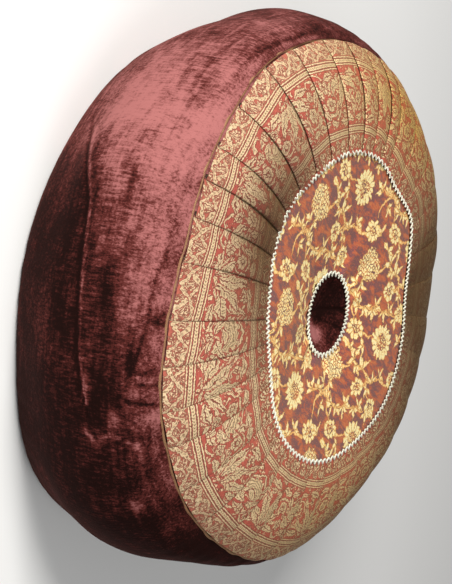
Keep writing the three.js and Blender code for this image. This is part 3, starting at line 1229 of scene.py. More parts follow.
    def ribbons(self, net: Wiring, cloth: Socket, pattern: Pattern) -> Pattern:
        """Lays two crossing ribbons over the outer border, as a trellis.

        Args:
            net: the material's wiring.
            cloth: distances along the strip and from its outer edge.
            pattern: the border's pattern so far.

        Returns:
            The border's pattern.
        """
        along, across = net.split(cloth)
        beat = net.math("PINGPONG", along, self.trellis)
        slope = self.outer_band[0] / self.trellis
        rising = net.times(beat, slope)
        falling = net.scaled(beat, -slope, self.outer_band[0])
        for middle, lean in ((rising, 1.0), (falling, -1.0)):
            away = net.times(net.minus(across, middle), self.ribbon_square)
            ribbon = net.minus(self.ribbon_half, net.abs(away))
            slant = net.scaled(net.abs(away), lean, beat)
            pattern = Repeat.cover(net, pattern, (ribbon, slant, 1.0), 0.7)
        return pattern

    def band(self, net: Wiring, along: Socket, across: Socket, edges: Pair, under: Pattern) -> Pattern:
        """Lays a woven band between two cords over the pattern.

        Args:
            net: the material's wiring.
            along: distance along the strip.
            across: distance from the strip's outer edge.
            edges: where the band starts and ends.
            under: the pattern so far.

        Returns:
            The pattern with the band.
        """
        low, high = edges
        away = net.abs(net.minus(across, (low + high) / 2))
        inside = net.minus((high - low) / 2, away)
        line = net.minus(net.abs(net.minus(inside, self.cord_middle)), self.cord_half)
        within = net.math("GREATER_THAN", inside, 0.0)
        depth = net.blend(within, inside, net.least(inside, line))
        slant = net.plus(away, along)
        return Repeat.cover(net, under, (depth, slant, 1.0), 0.9)

    def shade(
        self, net: Wiring, shader: Node, cloth: Socket, depth: Socket, rib: Socket, worn: Socket,
    ) -> None:
        """Turns the pattern into colour, roughness and relief.

        Args:
            net: the material's wiring.
            shader: the Principled shader.
            cloth: cloth coordinates in millimetres.
            depth: depth inside a motif.
            rib: rib coordinate.
            worn: 1 where the pattern is rubbed faint.
        """
        threads = net.group(Threads.tree(), Cloth=cloth)
        slub = threads.outputs["Tone"]
        ragged = net.noise(cloth, (0.5, 0.8, 0.0), 2.0, 0.7)
        depth = net.scaled(net.minus(ragged, 0.57), 2.4, depth)
        figured = net.step(depth, -0.2, 0.3)
        ribs = net.times(net.math("PINGPONG", rib, RIB / 2), 2 / RIB)
        light = net.step(net.scaled(slub, 1.8, ribs), 0.95, 1.7)
        # A cream line just inside each motif's edge, partly a contour cord and partly painted highlight.
        cord_highlight = net.times(net.step(depth, 0.1, 0.4), net.step(depth, 0.6, 1.1, 1.0, 0.0))
        gold = net.mix(light, self.gold_deep, self.gold)
        bright = net.math("MAXIMUM", net.times(cord_highlight, 0.85), net.times(light, 0.45))
        gold = net.mix(bright, gold, self.cream)
        ground = net.mix(net.step(slub, 0.35, 0.65), self.ground_deep, self.ground)
        # Painted shadow: a dark line round each motif's edge.
        rim = net.step(net.abs(net.plus(depth, 0.2)), 0.1, 0.5, 0.8, 0.0)
        colour = net.mix(rim, net.mix(figured, ground, gold), self.shadow)
        colour = net.mix(net.times(worn, self.wear), colour, self.faded)
        # Painted shade and a painted yellow reflection, laid by place round the ring.
        with_painted_light = net.mix(net.attribute("painted_shade"), colour, self.shade_brown, "MULTIPLY")
        with_painted_light = net.mix(net.attribute("painted_reflection"), with_painted_light, self.reflection_ochre, "MULTIPLY")
        # Painted shadow in the pleats' tucks and along their folded edges.
        colour = net.mix(net.attribute("fold"), with_painted_light, self.crease)
        net.fill(
            shader, Base_Color=colour, Roughness=net.blend(figured, 0.7, 0.5),
            Metallic=net.times(figured, 0.3), Specular_IOR_Level=0.3, Sheen_Weight=0.14,
            Sheen_Roughness=0.4, Sheen_Tint=self.glow,
        )
        relief(net, shader, threads.outputs["Height"], 0.00035, 0.9)


@dataclass(frozen=True)
class FlowerFinish(Finish):
    """Orange red cloth with violet clouds, amber vines and cream yellow flowers."""

    ground: Colour = (0.43, 0.077, 0.036)
    ember: Colour = (0.58, 0.165, 0.052)
    violet: Colour = (0.17, 0.056, 0.066)
    petal: Colour = (0.95, 0.62, 0.19)
    pale: Colour = (0.93, 0.83, 0.44)
    amber: Colour = (0.80, 0.37, 0.10)
    stalk: Colour = (0.92, 0.66, 0.27)
    outline: Colour = (0.10, 0.04, 0.02)
    glow: Colour = (1.0, 0.8, 0.4)
    half: Pair = (56.5, 74.5)
    turn: float = -19.0
    swell: float = 0.12
    dash_slant: float = 92.0
    dash_scale: Triple = (0.17, 0.6, 0.0)
    cloud_scale: Triple = (0.05, 0.11, 0.0)

    def repeat(self) -> Repeat:
        """The scattered flowers with the stems and leaf sprays that join them."""
        motifs = (
            stem((24, 15), (34, -2), 0.12), stem((34, -2), (40, -25), -0.1, 4.0),
            stem((40, -25), (45, -41), 0.08, 4.0), stem((45, -41), (37, -63), -0.1, 4.0),
            stem((37, -63), (36, -82), 0.1, 4.0), stem((36, -82), (52, -100), 0.2, 4.0),
            stem((45, -40), (64, -20), -0.18), stem((44, -43), (57, -52), 0.16),
            stem((75, -6), (76, -28), -0.1), stem((76, -28), (79, -50), 0.1),
            stem((79, -50), (86, -73), 0.08), stem((86, -73), (95, -97), 0.08),
            stem((62, -114), (91, -124), 0.22, 4.0), stem((91, -124), (94, -108), 0.16, 4.0),
            stem((94, -108), (112, -96), -0.16), stem((91, -124), (122, -134), -0.22, 4.0),
            stem((91, -124), (96, -147), -0.1, 4.0), stem((-3, -54), (4, -80), 0.14),
            sprig(33, -18, 160, 12), sprig(44, -30, 200, 13), sprig(50, -34, -10, 12),
            sprig(40, -56, 215, 18), sprig(38, -66, -30, 12), sprig(35, -74, 235, 16),
            sprig(30, -88, 170, 12), sprig(76, -14, 150, 12), sprig(76, -24, 20, 12),
            sprig(78, -44, 160, 13), sprig(80, -52, 30, 12), sprig(85, -70, 165, 13),
            sprig(87, -74, 20, 13), sprig(95, -96, 280, 14), sprig(92, -90, 60, 13),
            sprig(74, -115, 75, 13), sprig(78, -119, 265, 13), sprig(93, -112, 150, 11),
            sprig(96, -146, 250, 14), sprig(92, -134, 190, 12), sprig(104, -126, 80, 12),
            sprig(108, -50, 60, 12), sprig(14, -64, 300, 13), sprig(20, -116, 240, 13),
            leaf(24, -98, 80, 15, 8.0, teeth=0),
            daisy(-2, -35, 19.0, 16, 1.1),
            cone(54, -111, 80, 41, 34),
            daisy(69, -18, 11.0, 10), daisy(59, -57, 10.6, 9, 1.2, 20), daisy(5, -90, 10.5, 9, 1.4),
            daisy(24, -135, 11.5, 10, 1.2),
        )
        return Repeat(motifs, half=self.half, line=0.45)

    def dress(self, net: Wiring, shader: Node) -> None:
        """Wires the cloth: clouds of the ground, then stems, leaves and flowers over them.

        Args:
            net: the material's wiring.
            shader: its Principled shader.
        """
        flat = net.vector("MULTIPLY", net.place(), (1 / MM, 1 / MM, 0.0))
        cloth = net.turned(flat, -math.radians(self.turn))
        wavy = net.drift(net.drift(cloth, 0.1, 8.0), 0.4, 4.0)
        depth, _, tone = self.repeat().wire(net, wavy)
        depth = net.plus(depth, self.swell)
        threads = net.group(Threads.tree(), Cloth=cloth)
        ground = self.clouds(net, cloth)
        figure = self.figure(net, cloth, depth, tone)
        colour = net.mix(net.times(net.step(depth, -0.8, -0.2), 0.65), ground, self.outline)
        colour = net.mix(net.step(depth, -0.1, 0.2), colour, figure)
        net.fill(shader, Base_Color=colour, Roughness=0.65, Sheen_Weight=0.12, Sheen_Tint=self.glow)
        relief(net, shader, threads.outputs["Height"], 0.0003, 0.7)

    def clouds(self, net: Wiring, cloth: Socket) -> Socket:
        """Colour of the ground: short slanting dashes over violet clouds.

        Args:
            net: the material's wiring.
            cloth: cloth coordinates in millimetres.

        Returns:
            The colour.
        """
        slanted = net.turned(cloth, math.radians(self.dash_slant))
        dashes = net.noise(slanted, self.dash_scale, 3.0, 0.8)
        drift = net.noise(slanted, self.cloud_scale, 3.0, 0.65, 0.4)
        ground = net.mix(net.step(dashes, 0.42, 0.6), self.ground, self.ember)
        shadow = net.scaled(net.minus(dashes, 0.5), 0.75, drift)
        violet = net.mix(net.step(dashes, 0.54, 0.7), self.violet, self.ember)
        return net.mix(net.step(shadow, 0.455, 0.505), ground, violet)

    def figure(self, net: Wiring, cloth: Socket, depth: Socket, tone: Socket) -> Socket:
        """Colour of stems, leaves and flowers.

        Args:
            net: the material's wiring.
            cloth: cloth coordinates in millimetres.
            depth: depth inside a motif.
            tone: 0 for stems, 1 for petals.

        Returns:
            The colour.
        """
        flecks = net.noise(cloth, 0.45, 2.0, 0.7)
        inside = net.times(net.step(depth, 0.55, 1.35), net.step(flecks, 0.62, 0.5))
        rim = net.mix(net.times(tone, 0.7), self.amber, self.petal)
        middle = net.mix(net.step(tone, 0.0, 0.6), self.stalk, self.pale)
        return net.mix(inside, rim, middle)


@dataclass(frozen=True)
class BraidFinish(Finish):
    """Off-white wavy braid of twisted yarn."""

    light: Colour = (1.0, 0.98, 0.84)
    # Painted shade of the yarn's grooves.
    dark: Colour = (0.50, 0.52, 0.38)
    yarn_pitch: float = 1.3

    def dress(self, net: Wiring, shader: Node) -> None:
        """Wires the twisted yarn and the painted shade in its grooves, broken up by random tone.

        Args:
            net: the material's wiring.
            shader: its Principled shader.
        """
        along, around = net.attribute("run"), net.attribute("around")
        twist = net.scaled(around, 1.5, along)
        yarn = net.math("SINE", net.times(twist, FULL_TURN / self.yarn_pitch))
        groove_shade = net.scaled(yarn, 0.35, net.noise(net.place(), (160.0, 160.0, 160.0), 3.0, 0.6))
        colour = net.mix(net.step(groove_shade, 0.1, 0.62), self.dark, self.light)
        net.fill(shader, Base_Color=colour, Roughness=0.75)
        relief(net, shader, yarn, 0.0003, 0.8)


@dataclass(frozen=True)
class PipingFinish(Finish):
    """Folded edging of copper and gold thread."""

    gold: Colour = (0.40, 0.24, 0.10)
    copper: Colour = (0.20, 0.06, 0.032)
    thread_pitch: float = 2.4

    def dress(self, net: Wiring, shader: Node) -> None:
        """Wires the slanting threads and their patches of copper and gold.

        Args:
            net: the material's wiring.
            shader: its Principled shader.
        """
        along, around = net.attribute("run"), net.attribute("around")
        slant = net.scaled(around, 2.0, along)
        ribs = net.math("SINE", net.times(slant, FULL_TURN / self.thread_pitch))
        patch = net.noise(net.place(), (220.0, 220.0, 220.0), 2.0, 0.6)
        share = net.step(net.scaled(ribs, 0.3, patch), 0.25, 0.75)
        colour = net.mix(share, self.copper, self.gold)
        net.fill(shader, Base_Color=colour, Roughness=0.55, Metallic=0.1)
        relief(net, shader, ribs, 0.0003, 0.7)


@dataclass(frozen=True)
class FloorFinish(Finish):
    """Pale matt ground."""

    pale: Colour = (0.86, 0.86, 0.85)

    def dress(self, net: Wiring, shader: Node) -> None:
        """Sets the plain colour."""
        net.fill(shader, Base_Color=self.pale, Roughness=0.9)


# Sub-assemblies


@dataclass(frozen=True)
class Crush:
    """A mark pressed into the pile of the wall: dark painted shade where the lean is below 0 and rose
    painted sheen where above.

    It lies at an angle in degrees and a level from 0 at the floor to 1 at the seam, and measures long
    by wide millimetres. A turn of 0 lays it along the seam and 90 lays it up the wall.
    """

    at: float
    level: float
    long: float
    wide: float
    lean: float
    turn: float = 0.0

    def share(self, run: Array, rise: Array) -> Array:
        """Share of the mark felt at distances from it, in millimetres round and up the wall."""
        turn = math.radians(self.turn)
        along = run * math.cos(turn) + rise * math.sin(turn)
        across = rise * math.cos(turn) - run * math.sin(turn)
        return bump(along, self.long, across, self.wide)


@dataclass(frozen=True)
class Crease:
    """A crease over the wall along points of angle and level, with its depth and its lean of the pile:
    painted shade where the lean is below 0 and painted sheen where above.
    """

    path: tuple[Pair, ...]
    wide: float
    depth: float
    lean: float
    dash: float = 0.0
    BEAT: ClassVar[float] = 0.55

    def share(self, run: Array, rise: Array, round_mm: float, tall_mm: float) -> Array:
        """Share of the crease felt at each point.

        Args:
            run: distance round the wall in millimetres, 0 at the angle 0.
            rise: height in millimetres.
            round_mm: millimetres in one degree.
            tall_mm: height of the seam in millimetres.

        Returns:
            Shares from 0 to 1.
        """
        nearest = np.full(run.shape, np.inf)
        for (a, low), (b, high) in zip(self.path[:-1], self.path[1:]):
            start = np.array([a * round_mm, low * tall_mm])
            step = np.array([b * round_mm, high * tall_mm]) - start
            t = ((run - start[0]) * step[0] + (rise - start[1]) * step[1]) / (step @ step)
            t = np.clip(t, 0, 1)
            away = np.hypot(run - start[0] - t * step[0], rise - start[1] - t * step[1])
            nearest = np.minimum(nearest, away)
        beat = 1 - self.dash * (0.5 + 0.5 * np.sin((run + rise) * self.BEAT))
        return bump(nearest, self.wide) * beat


@dataclass
class VelvetCover:
    """The filled body in its velvet: back, puffed wall and the hidden top under the face."""

    shape: CushionShape
    finish: VelvetFinish = VelvetFinish()
    columns: int = 900
    wall_count: int = 86
    join_at: float = -129.0
    join_depth: float = 0.0005
    join_width: float = 0.0016
    pucker_height: float = 0.0016
    pucker_counts: tuple[int, ...] = (34, 41, 53, 67, 89)
    lump_height: float = 0.0011
    lump_counts: tuple[int, ...] = (3, 7, 11, 17)
    groove_drop: float = 0.0036
    lining_gap: float = 0.0008
    # Broad lean of the wall's pile: by angle it is partly the pile's own lie and partly painted sheen, and
    # low on one side a dark zone of painted shade.
    dark_start: float = -129.0
    dark_slant: float = 85.0
    dark_power: float = 2.1
    dark_shade_lean: float = 1.12
    dark_edge: float = 17.0
    light_from: float = 112.0
    light_edge: float = 25.0
    lean_and_sheen_round: tuple[Pair, ...] = (
        (-180, 0.05), (-165, 0.1), (-150, 0.22), (-138, 0.45), (-122, 0.8), (-100, 0.48), (-60, 0.42),
        (-32, 0.3), (5, 0.3), (60, 0.4), (120, 0.3), (180, 0.08),
    )
    creases: tuple[Crease, ...] = (
        Crease(
            ((-123, 0.19), (-110, 0.38), (-102, 0.48), (-92, 0.52), (-78, 0.57), (-63, 0.67)),
            1.9, 0.0016, -0.6,
        ),
        Crease(((-118, 0.31), (-102, 0.505), (-92, 0.545), (-78, 0.595), (-66, 0.66)), 2.0, 0.0, 0.95, 0.4),
        Crease(((-60.3, 0.73), (-61, 0.79), (-60.2, 0.84), (-59, 0.9)), 3.0, 0.0, 0.95, 0.75),
        Crease(((-129, 0.1), (-122, 0.46), (-121, 0.6), (-120, 0.86)), 1.5, 0.0004, -0.4, 0.8),
        Crease(((-126.5, 0.14), (-120.5, 0.46), (-119.5, 0.6), (-118.5, 0.8)), 1.3, 0.0, 0.45, 0.8),
        Crease(((-95, 0.945), (-88, 0.925), (-81, 0.925), (-73, 0.89)), 1.6, 0.0012, -0.65, 0.35),
        Crease(((-155, 0.66), (-140, 0.63), (-128, 0.70), (-112, 0.74)), 1.6, 0.0004, -0.3, 0.9),
        Crease(((-165, 0.72), (-146, 0.79), (-130, 0.77), (-108, 0.83)), 1.6, 0.0004, -0.25, 0.9),
        Crease(((-158, 0.955), (-148, 0.95), (-137, 0.93)), 2.2, 0.0008, -0.35, 0.4),
        Crease(((-172, 0.93), (-160, 0.985), (-150, 0.97)), 2.6, 0.0, 0.3),
        Crease(((-82, 0.93), (-81, 0.99)), 2.6, 0.0014, -0.35),
        Crease(((-70.5, 0.9), (-70, 1.0)), 1.8, 0.0016, -0.6),
        Crease(((-67.5, 0.86), (-66.5, 0.98)), 1.8, 0.0015, -0.7),
    )
    # Crush marks: pressed pile, with painted shade and painted sheen in their lean.
    # Each mark: at, level, long, wide, lean and, where it has one, turn.
    crush_and_sheen_marks: tuple[Crush, ...] = tuple(Crush(*mark) for mark in (
        (-182, 0.86, 95, 40, -0.28), (-124, 0.42, 40, 55, 0.5), (-143, 0.93, 42, 11, -0.3, -6),
        (-130, 0.70, 24, 3.2, -0.6), (-131, 0.77, 17, 3, -0.45), (-130, 0.83, 20, 3, -0.4, -4),
        (-124, 0.665, 12, 3, -0.35), (-116, 0.73, 5, 4, -0.4), (-115, 0.67, 9, 4, -0.3),
        (-109, 0.67, 7, 4, -0.35), (-106, 0.71, 12, 3, -0.3), (-103, 0.69, 24, 5, -0.15, -6),
        (-92, 0.77, 20, 6, -0.15, -8), (-82, 0.97, 9, 6, -0.5), (-77, 0.94, 24, 9, -0.35),
        (-88, 0.72, 26, 10, -0.35, -8), (-75, 0.87, 15, 6, -0.8, 6), (-72.5, 0.96, 10, 4, -0.6, 90),
        (-78, 0.97, 14, 6, 0.35), (-69, 0.66, 17, 3.5, 0.75), (-64, 0.80, 9, 7, 0.85),
        (-61, 0.73, 7, 4, 0.5), (-60, 0.675, 9, 2.6, 1.2, 45), (-64, 0.96, 15, 5, 0.45, 90),
        (-47, 0.85, 9, 6, 0.95, 20), (-39, 0.95, 9, 5, 0.35), (6, 0.3, 14, 6, 0.45),
        (5, 0.12, 16, 8, 0.45),
    ))
    seed: int = 11

    def build(self) -> Piece:
        """Builds the filled piece.

        Returns:
            The piece.
        """
        angle = np.linspace(0, FULL_TURN, self.columns, endpoint=False)
        along = np.concatenate([[0.0, 0.03], np.linspace(0.06, 1.0, self.wall_count)])
        radius, height = self.shape.wall_profile(along, angle)
        radius = radius + self.wall_relief(height, angle)
        wall = self.shape.placed(radius * np.cos(angle), radius * np.sin(angle), height)
        back = self.back(angle, radius[0])
        top = self.hidden_top(angle)
        points = np.concatenate([back, wall, top])
        points[..., 2] = np.maximum(points[..., 2], 0)
        nap_and_painted_light = self.nap_and_painted_light(points)
        nap_and_painted_light[len(back):len(back) + len(wall)] += self.marks(angle, height)
        finish = self.finish.material("crushed_velvet")
        piece = add_piece("velvet_cover", Grid(points, {"nap_and_painted_light": nap_and_painted_light}), "velvet_body", Slot.VELVET, finish)
        return piece

    def wall_relief(self, height: Array, angle: Array) -> Array:
        """Folds and puckers of the wall, as what they add to its radius.

        Args:
            height: heights, a row for each level.
            angle: one angle per column.

        Returns:
            Metres to add, in the shape of height.
        """
        rng = np.random.default_rng(self.seed)
        level = height / self.shape.seam_height
        near_seam, near_foot = bump(1 - level, 0.16), bump(level, 0.2)
        middle = np.sin(math.pi * np.clip(level, 0, 1))
        total = np.zeros_like(height)
        for count in self.pucker_counts:
            phase, swing = rng.uniform(0, FULL_TURN), rng.uniform(0.3, 1.0)
            envelope = 0.5 + 0.5 * np.sin(angle * rng.integers(2, 6) + rng.uniform(0, FULL_TURN))
            wave = np.sin(count * angle + phase + 1.5 * level) * envelope
            total += self.pucker_height * swing * wave * (0.45 * near_seam + 0.35 * near_foot)
        for count in self.lump_counts:
            phase, lean = rng.uniform(0, FULL_TURN), rng.uniform(-3, 3)
            total += self.lump_height * np.sin(count * angle + lean * level * 3 + phase) * middle
        run, rise = self.unrolled(angle, height)
        for crease in self.creases:
            total -= crease.depth * crease.share(run, rise, *self.measures())
        away = np.radians(degrees_from(angle, self.join_at)) * self.shape.seam_radius
        join = bump(away, self.join_width) * np.sin(math.pi * np.clip(level, 0.02, 0.98))
        total -= self.join_depth * join
        return total * np.sin(math.pi * np.clip(level, 0.0, 0.995)) ** 0.35

    def back(self, angle: Array, rim: Array) -> Array:
        """The flat back, from its middle to the foot of the wall."""
        shares = np.array([0.002, 0.25, 0.5, 0.75, 0.93])[:, None]
        zero = np.zeros((len(shares), len(angle)))
        return self.shape.placed(shares * rim * np.cos(angle), shares * rim * np.sin(angle), zero)

    def hidden_top(self, angle: Array) -> Array:
        """The top under the face's cloth, from the seam in to its middle."""
        shape, under = self.shape, -self.shape.cloth - self.lining_gap
        lip = shape.seam(angle)
        groove_height = shape.seam_height - self.groove_drop
        rows = [shape.placed(lip * np.cos(angle), lip * np.sin(angle), groove_height)]
        surfaces = (
            (shape.ring_point, (0.975, 0.9, 0.75, 0.5, 0.25, 0.0)),
            (shape.disc_point, (0.66, 0.33, 0.0)),
            (shape.centre_point, (0.6, 0.3, 0.01)),
        )
        for point, shares in surfaces:
            rows += [point(np.full_like(angle, across), angle, under) for across in shares]
        return np.stack(rows)

    def nap_and_painted_light(self, points: Array) -> Array:
        """How the pile leans: brushed up and rose red on one side, brushed down and dark on the other, with
        painted sheen on the rose side and painted shade on the dark side.

        Args:
            points: the piece's points.

        Returns:
            Lean at each point, round 0.
        """
        x = points[..., 0] - self.shape.middle[0]
        y = points[..., 1] - self.shape.middle[1]
        angle = np.degrees(np.arctan2(y, x))
        level = np.clip(points[..., 2] / self.shape.seam_height, 0, 1)
        edge = self.dark_start + self.dark_slant * level**self.dark_power
        dark = self.soft(angle - edge, self.dark_edge)
        dark = dark * (1 - self.soft(angle - self.light_from, self.light_edge))
        places, leans = zip(*self.lean_and_sheen_round)
        return np.interp(angle, places, leans) - self.dark_shade_lean * dark

    def measures(self) -> Pair:
        """Millimetres in one degree of the wall, and its height in millimetres."""
        return math.radians(self.shape.seam_radius / MM), self.shape.seam_height / MM

    def unrolled(self, angle: Array, height: Array) -> tuple[Array, Array]:
        """Distances round and up the wall in millimetres, with the angles taken from -215 to 145."""
        turned = (np.degrees(angle) + 215) % 360 - 215
        return np.broadcast_to(turned * self.measures()[0], height.shape), height / MM

    def marks(self, angle: Array, height: Array) -> Array:
        """What creases and crush marks add to the lean of the wall's pile, as painted shade and painted
        sheen.

        Args:
            angle: one angle per column.
            height: heights, a row for each level.

        Returns:
            Lean to add, in the shape of height.
        """
        run, rise = self.unrolled(angle, height)
        degree, tall = self.measures()
        lean = np.zeros(height.shape)
        for crease in self.creases:
            lean += crease.lean * crease.share(run, rise, degree, tall)
        for crush in self.crush_and_sheen_marks:
            lean += crush.lean * crush.share(run - crush.at * degree, rise - crush.level * tall)
        return lean

    @staticmethod
    def soft(away: Array, spread: float) -> Array:
        """A step from 0 to 1 as wide as spread on each side."""
        return 0.5 + 0.5 * np.tanh(away / spread)


@dataclass(frozen=True)
class Pleat:
    """A knife pleat: where its folded edge lies, in degrees, and how far it stands open."""

    at: float
    gap: float


@dataclass(frozen=True)
class ShadeAndReflection:
    """A place on the ring where painted shade darkens the gold to brown and a painted reflection turns it
    yellow.

    It lies at an angle in degrees and a share across the ring, 0 at the disc and 1 at the seam.
    """

    at: float
    across: float
    reach: float
    wide: float
    painted_shade: float = 0.0
    painted_reflection: float = 0.0

    def share(self, angle: Array, across: Array) -> Array:
        """Share of the painted shade and reflection felt at angles in radians and shares across the ring.
        """
        return bump(degrees_from(angle, self.at), self.reach, across - self.across, self.wide)


@dataclass
class BrocadePleats:
    """The brocade strip, laid round the crown in knife pleats that all fold the same way."""

    shape: CushionShape
    finish: BrocadeFinish = BrocadeFinish()
    # Each pleat seen in the photo: at and gap.
    shown: tuple[Pleat, ...] = tuple(Pleat(*row) for row in (
        (-198, 0.5), (-191, 0.9), (-183, 0.6), (-174, 1.0), (-163.5, 0.9), (-151, 0.9), (-139.8, 1.1),
        (-128, 1.2), (-118, 1.0), (-110.7, 1.3), (-103, 0.9), (-94, 0.6), (-82.6, 0.5), (-73.8, 0.3),
        (-65, 0.12), (-57.5, 0.12), (-46.5, 0.1), (-35.4, 0.15), (-26, 0.15), (-16.3, 0.2),
    ))
    spread_evenly: int = 14
    even_gap: float = 0.2
    # Places of painted shade and painted yellow reflection on the ring.
    shades_and_reflections: tuple[ShadeAndReflection, ...] = (
        ShadeAndReflection(at=-107, across=0.2, reach=27, wide=0.48, painted_shade=1.0),
        ShadeAndReflection(at=-132, across=0.1, reach=14, wide=0.25, painted_shade=0.2),
        ShadeAndReflection(at=-100, across=1.0, reach=45, wide=0.16, painted_shade=0.14),
        ShadeAndReflection(at=102, across=0.6, reach=32, wide=1.1, painted_shade=1.25),
        ShadeAndReflection(at=58, across=0.7, reach=22, wide=0.8, painted_shade=0.65),
        ShadeAndReflection(at=26, across=1.0, reach=26, wide=0.4, painted_shade=0.5),
        ShadeAndReflection(at=-20, across=0.95, reach=22, wide=0.2, painted_shade=0.25),
        ShadeAndReflection(at=-75, across=0.05, reach=16, wide=0.2, painted_shade=0.35),
        ShadeAndReflection(at=150, across=0.75, reach=24, wide=0.5, painted_reflection=0.85),
        ShadeAndReflection(at=178, across=0.6, reach=26, wide=0.6, painted_reflection=0.35),
        ShadeAndReflection(at=22, across=0.6, reach=42, wide=0.6, painted_reflection=0.45),
    )
    rows: int = 74
    face_columns: int = 26
    take_up: float = 0.008
    overhang: float = 0.0016
    lift_low: float = 0.0003
    lift_high: float = 0.0026
    puff_height: float = 0.0012
    edge_sway: float = 0.008
    edge_roll: float = 0.0003
    way_over_crown: float = 1.07
    skew: float = 0.045
    skew_change: float = 0.06
    pattern_shift: float = 0.0015
    seed: int = 5

    def pleats(self) -> list[Pleat]:
        """All pleats in growing angles: those seen, then the rest spread evenly."""
        first, last = self.shown[0].at + 360, self.shown[-1].at
        step = (first - last) / (self.spread_evenly + 1)
        places = [last + step * (count + 1) for count in range(self.spread_evenly)]
        return [*self.shown, *(Pleat(at, self.even_gap) for at in places)]

    def build(self) -> Piece:
        """Builds the pleated strip.

        Returns:
            The piece.
        """
        pleats = self.pleats()
        rng = np.random.default_rng(self.seed)
        across = np.linspace(1, 0, self.rows)[:, None]
        columns = []
        start = 0.0
        for before, pleat in zip([pleats[-1], *pleats[:-1]], pleats):
            character = rng.uniform(-1, 1, 5)
            width = math.radians((pleat.at - before.at) % 360)
            length = self.shape.seam_radius * width + self.take_up
            edge = math.radians(pleat.at) - width
            columns.append(self.pleat(edge, width, pleat.gap, across, start, length, character))
            start += length
        points = np.concatenate([c[0] for c in columns], 1)
        fields = {
            key: np.concatenate([c[1][key] for c in columns], 1)
            for key in ("strip_along", "strip_across", "fold", "painted_shade", "painted_reflection")
        }
        finish = self.finish.material("gold_brocade")
        piece = add_piece("brocade_pleats", Grid(points, fields), "brocade_ring", Slot.BROCADE, finish)
        LOG.info("brocade strip is %.3f m long", start)
        return piece

    def pleat(
        self, edge: float, width: float, gap: float, across: Array, start: float, length: float,
        character: Array,
    ) -> tuple[Array, dict[str, Array]]:
        """One pleat: under the last fold, over the face, round its own folded edge and back under.

        Args:
            edge: angle where the last folded edge lies.
            width: angle from there to this pleat's folded edge.
            gap: how far this pleat stands open.
            across: 1 at the seam and 0 at the disc, one per row.
            start: length of strip used before this pleat.
            length: length of strip in this pleat.
            character: five random numbers from -1 to 1 that make each pleat its own.

        Returns:
            Points and fields, a row for each across and a column for each step along the strip.
        """
        wide = self.shape.seam_radius - self.shape.disc_radius
        radius = self.shape.disc_radius + wide * across
        hidden, shown = (length - radius * width) / 2, radius * width
        tuck, over = hidden / radius, self.overhang / radius
        full = 0.4 + 0.6 * np.sin(math.pi * np.clip(across * 0.9 + 0.05, 0, 1))
        high = self.lift_low * 3 + self.lift_high * gap * (1 + 0.15 * character[0]) * full
        puff = self.puff_height * (1 + 0.5 * character[1]) * full
        sway = self.edge_sway * character[2] * np.sin(math.pi * across)
        face = np.linspace(0, 1, self.face_columns)
        rise = smooth(face, -0.1, 0.9) * (1 - 0.18 * smooth(face, 0.9, 1.0))
        face_lift = self.lift_low + (high - self.lift_low) * rise + puff * np.sin(math.pi * face)
        below = np.array([0.0, 0.4, 0.8])
        back = np.array([0.25, 0.65])
        # The fold share paints shadow: in the hidden tucks, and along the folded edge as far as the pleat
        # stands open.
        dark = min(1.0, 0.1 + 1.5 * gap)
        turned = edge + width + over
        steps = [
            (edge - tuck * (1 - below), self.lift_low * (0.5 + 0.5 * below), dark),
            (edge + (width + over) * face, face_lift, 0.0),
            (turned + self.edge_roll / radius, high * 0.55, min(gap, 1.0) * 0.6),
            (turned - tuck * back, self.lift_low * 1.6 + high * 0.25 * (1 - back), dark),
        ]
        angle = np.concatenate([step[0] for step in steps], 1)
        lift = np.concatenate([step[1] + 0 * step[0] for step in steps], 1)
        fold = np.concatenate([step[2] + 0 * step[0] for step in steps], 1)
        angle = angle + sway * smooth(np.linspace(0, 1, angle.shape[1]), 0.0, 1.0)
        used = np.concatenate(
            [hidden * below, hidden + shown * face, hidden + shown, hidden + shown + hidden * back], 1,
        )
        skew = self.skew + self.skew_change * character[3]
        shift = self.pattern_shift * character[4]
        from_edge = (1 - across) * wide * self.way_over_crown + skew * (used - length / 2) + shift
        points = self.shape.ring_point(across + 0 * angle, angle, lift)
        fields = {
            "strip_along": (start + used) / MM,
            "strip_across": from_edge / MM,
            "fold": fold,
            "painted_shade": np.clip(sum(s.painted_shade * s.share(angle, across) for s in self.shades_and_reflections), 0, 1),
            "painted_reflection": np.clip(sum(s.painted_reflection * s.share(angle, across) for s in self.shades_and_reflections), 0, 1),
        }
        return points, fields


